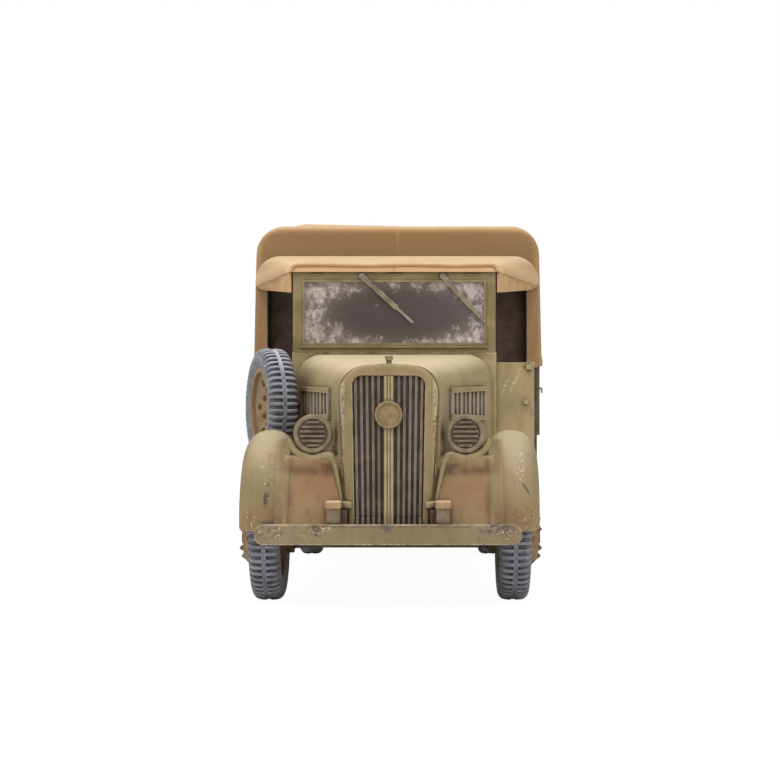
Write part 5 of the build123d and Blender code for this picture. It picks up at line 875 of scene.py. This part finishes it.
# %% [markdown]
# ### Bead, apron and seam
# The bead is a round section whose radius changes along a smooth curve through a few points.
# The apron is a wall between two grids, and its rows follow one profile. The seam fills the
# corner between apron and mudguard. Its surface starts on the apron and ends on the
# mudguard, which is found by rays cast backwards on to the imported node.

# %% Paths and the seam
# x, distance behind the front axle, z, radius of the bead there
BEAD = np.array([
    (10.75, -7.9, 18.1, 0.30), (10.35, -8.1, 17.3, 0.46), (9.7, -8.45, 16.6, 0.56),
    (8.9, -8.6, 16.2, 0.60), (8.15, -8.65, 16.05, 0.58), (7.4, -8.65, 16.2, 0.60),
    (6.7, -8.7, 16.35, 0.58), (6.1, -8.8, 16.1, 0.50), (5.72, -9.05, 15.3, 0.38),
    (5.48, -9.4, 14.2, 0.30), (5.26, -9.75, 13.2, 0.25), (5.05, -10.1, 12.2, 0.21),
    (4.95, -10.45, 11.3, 0.18)])


def smooth_path(rows, steps):
    """Points at equal parameter steps on the Catmull-Rom curve through the rows."""
    rows = np.array(rows, float)
    ends = np.concatenate([2 * rows[:1] - rows[1:2], rows, 2 * rows[-1:] - rows[-2:-1]])
    at = np.linspace(0, len(rows) - 1 - 1e-9, steps)
    i, f = at.astype(int), (at % 1)[:, None]
    a, b, c, d = ends[i], ends[i + 1], ends[i + 2], ends[i + 3]
    return 0.5 * (2 * b + (c - a) * f + (2 * a - 5 * b + 4 * c - d) * f ** 2
                  + (3 * b - a - 3 * c + d) * f ** 3)


# z and distance behind the front axle of the apron's smooth front
APRON_PROFILE = [(16.5, -8.35), (16.42, -8.8), (16.1, -9.15), (15.6, -9.27), (15.1, -9.22),
                 (14.6, -9.16), (14.0, -9.34), (13.0, -9.76), (11.5, -10.42), (10.2, -10.99),
                 (9.05, -11.50)]
# the seam starts higher, and from its sixth point on it is the apron's line
SEAM_PROFILE = [(18.2, -7.7), (17.6, -8.0), (17.0, -8.35), (16.4, -8.8), (15.8, -9.15)]
SEAM_PROFILE += APRON_PROFILE[4:]
SEAM_START_X, SEAM_END_X, SEAM_COLUMNS, SEAM_ROWS = 10.65, 12.2, 24, 40
SEAM_GAP = 0.03  # between the filler and the mudguard's face
RAYS_FROM = behind(-20)
NO_HIT = 99.0  # far behind everything, so that it never limits the filler
print("the bead falls from", BEAD[0, 2], "to", BEAD[-1, 2], "mm above the floor")


def guard_seam(node, side):
    """Filler between apron and mudguard: y = a + (g - a)*(3*s^2 - 2*s^3), from the apron's
    face a to the mudguard's face g with s from 0 to 1, and never behind the mudguard."""
    metres = [node.matrix_world @ v.co for v in node.data.vertices]
    guard = BVHTree.FromPolygons(metres, [p.vertices for p in node.data.polygons])
    x = np.linspace(SEAM_START_X, SEAM_END_X, SEAM_COLUMNS)
    s = (x - x[0]) / (x[-1] - x[0])
    rows = []
    for z, d in smooth_path(SEAM_PROFILE, SEAM_ROWS):
        hits = [guard.ray_cast((side * p * MM, RAYS_FROM * MM, z * MM), (0, 1, 0))[0]
                for p in x]
        if hits[-1] is None:
            continue
        face = np.array([NO_HIT if h is None else h.y / MM for h in hits]) - SEAM_GAP
        start = behind(d) - 0.01
        y = start + (face[-1] - start) * (3 * s ** 2 - 2 * s ** 3)
        rows.append(np.stack([side * x, np.minimum(y, face), np.full(len(x), z)], axis=1))
    return np.array(rows)


# %% [markdown]
# ### Frame ends beside the shell
# The irons that carry the bumper end in cast blocks. A block, a joint and a strap are
# rounded boxes of one formula, with a squareness between a box at 0 and an ellipsoid at 1.

# %% The table of blocks, joints and straps, and the painted shade in the gap behind them
# name, x, distance behind the front axle, z, half axes, squareness, finish
IRONS = [("block", 5.72, -12.1, 10.3, (0.72, 1.4, 1.22), 0.18, block_paint),
         ("joint", 4.45, -11.0, 11.25, (0.62, 0.6, 0.4), 0.5, bar_paint),
         ("strap", 5.72, -12.3, 11.34, (0.85, 1.5, 0.42), 0.3, strap_paint)]
HOLE_INNER_X, HOLE_OUTER_X = 4.36, 5.0
print("irons on each side:", [row[0] for row in IRONS])

# %% Bead, apron, seam and frame end on both sides
APRON_INNER_X, APRON_OUTER_X, APRON_STEPS = 4.5, 11.22, 30
SKIN = (0, 0.05, 0)  # thickness of apron and seam
bead = smooth_path(BEAD, 60)
for side_name, side in SIDES:
    path = np.stack([side * bead[:, 0], FRONT_AXLE_Y + bead[:, 1], bead[:, 2]], axis=1)
    piece(f"apron_bead_{side_name}", swept(ROUND, path, scale=bead[:, 3]), "chassis",
          sprayed_sand, sharp_degrees=60)
    rows = []
    for z, d in smooth_path(APRON_PROFILE, APRON_STEPS):
        x = np.linspace(APRON_INNER_X, APRON_OUTER_X, APRON_STEPS)
        back = 0.3 * np.clip((x - 10.7) / 0.5, 0, 1) ** 2  # it bends back to the mudguard
        crease = 0.07 * np.exp(-((x - 10.45) / 0.25) ** 2)
        rows.append(np.stack([side * x, behind(d) + back + crease, np.full(APRON_STEPS, z)],
                             axis=1))
    rows = np.array(rows)
    piece(f"apron_skin_{side_name}", shell_between(rows, rows + SKIN), "chassis",
          apron_paint, sharp_degrees=60)
    seam = guard_seam(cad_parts[f"front_mudguard_{side_name}"], side)
    piece(f"apron_seam_{side_name}", shell_between(seam, seam + SKIN), "chassis",
          seam_paint, sharp_degrees=60)
    print("seam", side_name, "rows:", len(seam))
    for iron, x, d, z, half, squareness, finish in IRONS:
        piece(f"iron_{iron}_{side_name}",
              rounded_block((side * x, behind(d), z), half, squareness), "chassis",
              finish)
    # a dark slab of painted shade closes the gap behind the irons
    low_x, high_x = sorted((side * HOLE_INNER_X, side * HOLE_OUTER_X))
    piece(f"iron_gap_shade_{side_name}",
          slab((low_x, behind(-11.9), 9.1), (high_x, behind(-11.4), 10.8)), "chassis",
          dark_shade_paint)
print("with the front fittings:", len(made_pieces), "pieces")

# %% [markdown]
# ### The grille's bar, foot and badge
# The grille carries a ridged centre bar and a bare disc with a milled rim and fourteen studs.
# Its ribs run on in front of the shell's bottom bar, down to the bumper.

# %% Centre bar, foot and disc
GRILLE_FACE = behind(-11.3)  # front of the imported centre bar
BAR_FOOT, BAR_TOP, BAR_BACK = 9.0, 24.8, GRILLE_FACE + 0.1
# x of the middle, half width, how far it stands out
BAR_RIDGES = [(-0.34, 0.16, 0.06), (0.34, 0.16, 0.06), (0.0, 0.11, 0.14)]
bar = [slab((x - half, GRILLE_FACE - out, BAR_FOOT), (x + half, BAR_BACK, BAR_TOP))
       for x, half, out in BAR_RIDGES]
piece("grille_bar", joined(*bar), "chassis", bar_paint)
# a near-black slab behind the foot ribs: painted shade between them
piece("grille_foot_shade",
      slab((-3.62, behind(-11.22), BAR_FOOT), (3.62, behind(-11.0), 9.83)), "chassis",
      gap_shade_paint)
FOOT_RIBS, FOOT_RIB_HALF, FOOT_RIB_TOP = (1.0, 1.58, 2.15, 2.72, 3.3), 0.13, 9.95
foot = [slab((side * x - FOOT_RIB_HALF, behind(-11.32), BAR_FOOT),
             (side * x + FOOT_RIB_HALF, behind(-11.1), FOOT_RIB_TOP))
        for x in FOOT_RIBS for side in (-1, 1)]
piece("grille_foot", joined(*foot), "chassis", grille_paint)
BADGE_Z, STUDS, STUD_CIRCLE = 20.75, 14, 1.3
FORWARD = (0, -1, 0)
disc = turned([(0.1, 0), (0.1, 1.44), (0.40, 1.47), (0.47, 1.40), (0.47, 1.22), (0.36, 1.14),
               (0.38, 0.6), (0.41, 0)], (0, GRILLE_FACE, BADGE_Z), FORWARD, 48)
studs = [turned([(0, 0), (0, 0.11), (0.07, 0.1), (0.12, 0.05), (0.13, 0)],
                (STUD_CIRCLE * math.cos(t), GRILLE_FACE - 0.44,
                 BADGE_Z + STUD_CIRCLE * math.sin(t)), FORWARD, 8)
         for t in 2 * np.pi * np.arange(STUDS) / STUDS]
piece("badge_disc", joined(disc, *studs), "chassis", badge_paint)
print("studs:", STUDS)

# %% [markdown]
# ### The windscreen's bead and hinges
# The pane lies in a thin bead on its frame, with a sill below it and three hinge barrels
# at the top. The bead's four bars only meet at the corners, because two faces in the same
# place would show as black dots.

# %% The bead round the windscreen's pane
SCREEN_Y = behind(15.9)
PANE_HALF, PANE_LOW, PANE_HIGH = 11.25, 29.8, 37.6
BEAD_HALF, BEAD_FRONT, BEAD_REAR = 0.13, SCREEN_Y - 0.14, SCREEN_Y + 0.1
corner_rows = [(-PANE_HALF, PANE_LOW), (PANE_HALF, PANE_LOW), (PANE_HALF, PANE_HIGH),
               (-PANE_HALF, PANE_HIGH)]
pane_parts = []
for (x0, z0), (x1, z1) in zip(corner_rows, corner_rows[1:] + corner_rows[:1]):
    reach = -BEAD_HALF if x0 == x1 else BEAD_HALF  # the uprights end at the other two bars
    pane_parts.append(slab((min(x0, x1) - BEAD_HALF, BEAD_FRONT, min(z0, z1) - reach),
                           (max(x0, x1) + BEAD_HALF, BEAD_REAR, max(z0, z1) + reach)))
frame_paint = painted("olive_frame_acrylic", "8A7B57", "776A47", "42341F", "B0A078", "5A4C42",
                      cloud_mm=3.0, wash_and_shade_mm=0.5, edge_mm=0.14, dust_and_top_light=0.2, specks=0.2)
SILL_HALF, SILL_LOW, SILL_HIGH = 11.6, 29.35, 29.62
pane_parts.append(slab((-SILL_HALF, SCREEN_Y - 0.3, SILL_LOW),
                       (SILL_HALF, BEAD_REAR, SILL_HIGH)))
piece("pane_bead", joined(*pane_parts), "chassis", frame_paint)


def pin(start, direction, radius, length, steps):
    """A plain round pin: the profile (0, 0), (0, r), (l, r), (l, 0) turned about its axis."""
    return turned([(0, 0), (0, radius), (length, radius), (length, 0)], start, direction,
                  steps)


HINGE_PLACES, HINGE_Z, HINGE_LENGTH = (-9.6, 0.0, 9.6), 38.45, 1.6
hinges = [pin((x - HINGE_LENGTH / 2, SCREEN_Y + 0.05, HINGE_Z), (1, 0, 0), 0.2, HINGE_LENGTH,
              10) for x in HINGE_PLACES]
piece("screen_hinges", joined(*hinges), "chassis", frame_paint)
print("bars in the bead:", len(pane_parts), "and hinges:", len(hinges))

# %% [markdown]
# ## Fittings on the sides, at the rear and below
# Bolts, hinges, hooks and clasps are small turned or boxed bits. Many of them go into one
# mesh, because each of them alone is far too small to be handled as a piece.

# %% Bolts and hooks on the bed's sides
def bolt(centre, direction, radius=0.2, height=0.16):
    """A six-sided head on a thin washer."""
    head = turned([(-0.1, 0), (-0.1, radius), (height * 0.7, radius), (height, radius * 0.75),
                   (height, 0)], centre, direction, 6)
    washer = turned([(-0.1, 0), (-0.1, radius * 1.45), (0.04, radius * 1.45), (0.04, 0)],
                    centre, direction, 12)
    return joined(washer, head)


BODY_HALF, BODY_FRONT, BODY_REAR = 19.85, 39.2, 78.6
BODY_LENGTH = BODY_REAR - BODY_FRONT
STAKES, HOOKS = 5, 6
BOLT_ROWS = (20.2, 23.3, 26.6)  # heights above the floor
HOOK_Z = 25.0
side_bits = []
for side in (-1, 1):
    for stake in range(STAKES):
        y = behind(BODY_FRONT + BODY_LENGTH * (stake + 0.5) / STAKES)
        for z in BOLT_ROWS:
            side_bits.append(bolt((side * (BODY_HALF + 0.02), y, z), (side, 0, 0)))
    for hook in range(HOOKS):
        y = behind(BODY_FRONT + BODY_LENGTH * (hook + 0.12 + 0.03 * hook) / (HOOKS + 0.2))
        foot_at, outwards = (side * BODY_HALF, y, HOOK_Z), (side, 0, 0)
        side_bits.append(joined(
            turned([(-0.1, 0), (-0.1, 0.32), (0.06, 0.32), (0.1, 0)], foot_at, outwards, 10),
            pin(foot_at, outwards, 0.12, 0.42, 8),
            pin((side * (BODY_HALF + 0.36), y, HOOK_Z + 0.05), (0, 0, -1), 0.11, 0.7, 8)))
piece("cargo_side_bits", joined(*side_bits), "chassis", cargo_paint)
print("bits on the bed's sides:", len(side_bits))

# %% Hinges, bolts and cleats of the tailboard
TAIL_HINGES, TAIL_HINGE_LENGTH, TAIL_HINGE_Z = (-13.9, -4.6, 4.6, 13.9), 1.5, 18.9
CLEAT_X, CLEAT_LOW, CLEAT_TOP = 18.3, 26.3, 27.3
rear_y = behind(BODY_REAR)
rear_bits = []
for x in TAIL_HINGES:
    for z in BOLT_ROWS:
        rear_bits.append(bolt((x, rear_y + 0.25, z), (0, 1, 0)))
    rear_bits.append(pin((x - TAIL_HINGE_LENGTH / 2, rear_y + 0.18, TAIL_HINGE_Z), (1, 0, 0),
                         0.34, TAIL_HINGE_LENGTH, 12))
for side in (-1, 1):
    rear_bits.append(slab((side * CLEAT_X - 0.5, rear_y - 0.2, CLEAT_LOW),
                          (side * CLEAT_X + 0.5, rear_y + 0.3, CLEAT_TOP)))
    rear_bits.append(pin((side * CLEAT_X, rear_y + 0.4, CLEAT_TOP), (0, 0, -1), 0.2, 1.6, 8))
piece("tailboard_bits", joined(*rear_bits), "chassis", cargo_paint)
print("bits on the tailboard:", len(rear_bits))

# %% Bolts of the frame and ribs of the running boards
FRAME_BOLT_PLACES = (-8.6, 2.5, 12.0, 22.0, 34.0)  # behind the front axle
FRAME_BOLT_ROWS, FRAME_FACE_X = (12.0, 12.9), 6.22
frame_bits = [bolt((side * FRAME_FACE_X, behind(place), z), (side, 0, 0), 0.15, 0.12)
              for side in (-1, 1) for place in FRAME_BOLT_PLACES for z in FRAME_BOLT_ROWS]
piece("frame_bolts", joined(*frame_bits), "chassis", chassis_paint)

BOARD_RIBS, RIB_START_X, RIB_SPACING, RIB_HALF = 7, 12.4, 0.55, 0.09
board_bits = []
for side in (-1, 1):
    for rib in range(BOARD_RIBS):
        x = side * (RIB_START_X + rib * RIB_SPACING)
        board_bits.append(slab((x - RIB_HALF, behind(9.4), 9.45),
                               (x + RIB_HALF, behind(36.2), 9.62)))
piece("running_board_ribs", joined(*board_bits), "chassis", sprayed_sand)
print("pieces:", len(made_pieces))

# %% [markdown]
# ## The pane
# The pane is clear styrene under a brown film. It is dark and half clear in the middle, and
# matt grey-white scuffs cover it towards the edges, as on a part that was sanded and
# handled. A matt and a clear surface are mixed by the scuffs.

# %% Clear plastic and the other slots
SLOT_FINISH = {
    "sand_paint": sprayed_sand, "wheel_paint": wheel_paint, "grille_wash": grille_paint,
    "chassis_wash": chassis_paint, "canvas": canvas_paint, "cargo_wash": cargo_paint,
    "seat_paint": seat_paint, "lamp_red": lamp_red, "tyre": tyre_paint,
}
STYRENE_IOR = 1.59
SCREEN_MIDDLE, SCREEN_MIDDLE_HALF = (0.6, behind(16), 33.6), (12.4, 6.0, 4.6)


def clear_plastic():
    """Clear styrene with a brown film: dark and half clear in the middle, and covered by
    matt grey-white scuffs towards the edges of the pane."""
    material = bpy.data.materials.new("clear_styrene")
    tree = clear_tree(material)
    middle = patch(tree, SCREEN_MIDDLE, SCREEN_MIDDLE_HALF)
    ragged = cloud(tree, 1.7, detail=8, rough=0.74, offset=(0.2, 0, 0.1))
    level = combine(tree, "SUBTRACT", ragged, combine(tree, "MULTIPLY", middle, 0.2))
    scuffs = window(tree, level, 0.40, 0.56)
    streaks = window(tree, cloud(tree, 0.5, detail=6, rough=0.8, stretch=(1, 1, 0.5)),
                     0.3, 0.7, 0.35, 1.0)
    scuffed = combine(tree, "MULTIPLY", scuffs, streaks)
    film = layer(tree, layer(tree, linear("75675D"), linear("4A3E37"), middle),
                 linear("D0C3BC"), scuffed)
    matt = add_node(tree, "ShaderNodeBsdfPrincipled", {"Base Color": film, "Roughness": 0.6})
    clear = add_node(tree, "ShaderNodeBsdfPrincipled", {
        "Base Color": linear("B9ACA2"), "Roughness": 0.15, "IOR": STYRENE_IOR,
        "Transmission Weight": 1.0})
    cover = add_node(tree, "ShaderNodeMapRange", {0: middle, 3: 0.85, 4: 0.55})
    covered = combine(tree, "MAXIMUM", cover.outputs[0], scuffed)
    mix = add_node(tree, "ShaderNodeMixShader", {0: covered, 1: clear.outputs[0],
                                                 2: matt.outputs[0]})
    add_node(tree, "ShaderNodeOutputMaterial", {"Surface": mix.outputs[0]})
    return material


SLOT_FINISH["clear_plastic"] = clear_plastic()
SLOT_FINISH["wiper_plastic"] = painted("grey_wiper_acrylic", "85785F", "6B6050", "332A26",
                                       "C9BFB5", "3A3230", cloud_mm=1.0, dust_and_top_light=0.0)

# %% [markdown]
# ## Finishes of single parts
# The large front parts have their own chips and washes, and some of their zones are painted
# shade in creases. A zone is a box in millimetres with a colour, and a mark is an ellipsoid in
# which ragged noise lets a colour through, such as bare primer on the bumper's edge or pale
# rubs on a mudguard.

# %% Lamps, bonnet, mudguards, scuttle, bumper and shell
slat_paint = painted("washed_slat_acrylic", "756451", "5F5143", "2B221A", "96866E", "3A3230",
                     cloud_mm=1.2, wash_and_shade_mm=0.3, edge_mm=0.12, edge_amount=0.7, dust_and_top_light=0.0,
                     chips=0.2)
LOUVRE_GREY = "92877B"
bonnet_paint = painted(
    "bonnet_acrylic", SAND, OLIVE, UMBER, BUFF, PRIMER, dust_and_top_light=0.55, specks=0.35, zones=[
        ((5.0, behind(-5.4), 20.9), (13.0, behind(13.1), 23.3), 0.2, LOUVRE_GREY, 0.85, 0)])
guard_paint = painted(
    "mudguard_acrylic", "887656", "7B6E4C", UMBER, BUFF, PRIMER, dust_and_top_light=0.35, specks=0.2, zones=[
        ((4.0, behind(-12), 8.5), (10.2, behind(-7.5), 15.6), 0.5, APRON_BROWN, 0.7, 3.0),
        ((10.5, behind(-12), 8.0), (17.0, behind(0), 11.0), 1.0, "8A6244", 0.6, 2.2),
        # painted shade: the mudguard darkens towards its crease with the apron
        ((10.2, behind(-12), 8.0), (11.5, behind(-6), 16.5), 0.5, UMBER, 0.2, 2.0)],
    marks=[((-12.6, behind(-8.5), 14.6), (0.9, 4.0, 3.4), 8, "80735F", 0.50, 0.4),
           ((-12.9, behind(-8.5), 14.4), (1.6, 4.0, 3.4), 8, "B7A580", 0.60, 0.3),
           ((-13.0, behind(-9.5), 12.2), (0.4, 4.0, 1.8), -6, "4A4338", 0.46, 0.4),
           ((-11.9, behind(-9.5), 9.3), (2.4, 4.0, 0.35), 0, "5C4E46", 0.42, 0.7),
           ((-15.2, behind(-9.5), 9.6), (1.6, 4.0, 1.9), 0, "C2A27C", 0.60, 0.3),
           ((15.0, behind(-9.5), 9.6), (1.6, 4.0, 1.9), 0, "C2A27C", 0.60, 0.3),
           ((14.6, behind(-9.5), 10.0), (1.8, 4.0, 1.9), 0, "6A4334", 0.58, 0.35),
           ((13.9, behind(-7.5), 15.2), (0.8, 4.0, 3.2), -4, "B5A99A", 0.52, 0.35),
           ((13.7, behind(-7.5), 15.0), (0.7, 4.0, 3.0), -4, "6E5F58", 0.57, 0.35),
           ((14.6, behind(-9.0), 12.9), (0.16, 4.0, 1.0), 32, "5A4C42", 0.30, 0.6)])
scuttle_paint = painted(
    "scuttle_acrylic", "A8966F", "9B8B64", UMBER, BUFF, PRIMER, dust_and_top_light=0.2, specks=0.5,
    # a dark brown strip below the windscreen: a wash, and painted shade under the frame above
    # it
    zones=[((0.0, behind(15), 28.0), (12.8, behind(19), 30.0), 0.2, "6E5638", 0.6, 2.0)],
    marks=[((15.3, behind(19), 25.6), (0.25, 4.0, 2.2), -24, BUFF, 0.50, 0.3),
           ((13.9, behind(19), 24.6), (0.2, 4.0, 1.8), -24, BUFF, 0.52, 0.3)])
bumper_paint = painted(
    "bumper_acrylic", "85745A", "78684B", UMBER, BUFF, PRIMER, dust_and_top_light=0.25, specks=0.3,
    chips=0.9, edge_mm=0.25, edge_amount=0.95,
    zones=[((0.0, behind(-16), 9.02), (8.5, behind(-12), 9.22), 0.06, "5A4A40", 0.7, 0.4)],
    marks=[((-0.3, behind(-14), 8.95), (0.75, 3.0, 0.7), 0, "5C5350", 0.46, 0.35),
           ((-7.4, behind(-14), 8.75), (1.9, 3.0, 0.9), 0, "5A4A40", 0.50, 0.4),
           ((-7.2, behind(-14), 8.7), (2.4, 3.0, 1.0), 0, "C3AF88", 0.60, 0.35),
           ((-12.6, behind(-14), 8.5), (2.6, 3.0, 1.0), 0, "6B5B50", 0.50, 0.4),
           ((-12.4, behind(-14), 8.4), (2.6, 3.0, 1.1), 0, "B9A57E", 0.60, 0.3),
           ((11.2, behind(-14), 8.9), (2.4, 3.0, 0.9), 0, "544A48", 0.50, 0.4),
           ((12.2, behind(-14), 8.4), (1.8, 3.0, 0.9), 0, BUFF, 0.58, 0.25)])
shell_paint = painted(
    "shell_acrylic", "8B7755", "7E6F4A", UMBER, BUFF, PRIMER, dust_and_top_light=0.2, specks=0.5,
    chips=0.7, edge_mm=0.2, edge_amount=0.6,
    zones=[((4.7, behind(-12.5), 13.0), (6.0, behind(-9), 25.0), 0.15, BUFF, 0.4, 0.3),
           ((0.0, behind(-12.5), 25.6), (5.0, behind(-9), 27.0), 0.2, "7C6F4A", 0.5, 1.5)],
    marks=[((-4.9, behind(-11), 20.5), (0.35, 3.0, 4.5), 0, "7A6A66", 0.50, 0.4),
           ((4.9, behind(-11), 19.5), (0.3, 3.0, 4.5), 0, "6E6038", 0.52, 0.4),
           ((0.0, behind(-11), 26.3), (4.2, 3.0, 0.35), 0, "6B6450", 0.50, 0.5)])
# cab_back and dashboard take the dark brown painted shade of the cab's inside
NODE_FINISH = {
    "headlight_covers": slat_paint, "cab_hood": hood_paint, "headlight_left": lamp_paint,
    "headlight_right": lamp_paint, "cab_back": dark_shade_paint, "dashboard": dark_shade_paint,
    "windscreen_frame": frame_paint, "bonnet": bonnet_paint,
    "front_mudguard_left": guard_paint, "front_mudguard_right": guard_paint,
    "scuttle": scuttle_paint, "front_bumper": bumper_paint, "radiator_shell": shell_paint,
}

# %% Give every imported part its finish
for node_name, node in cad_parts.items():
    slot = node.data.materials[0].name.split(".")[0]
    node.data.materials.clear()
    node.data.materials.append(NODE_FINISH.get(node_name) or SLOT_FINISH[slot])
print("packed parts with a finish:", len(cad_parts))
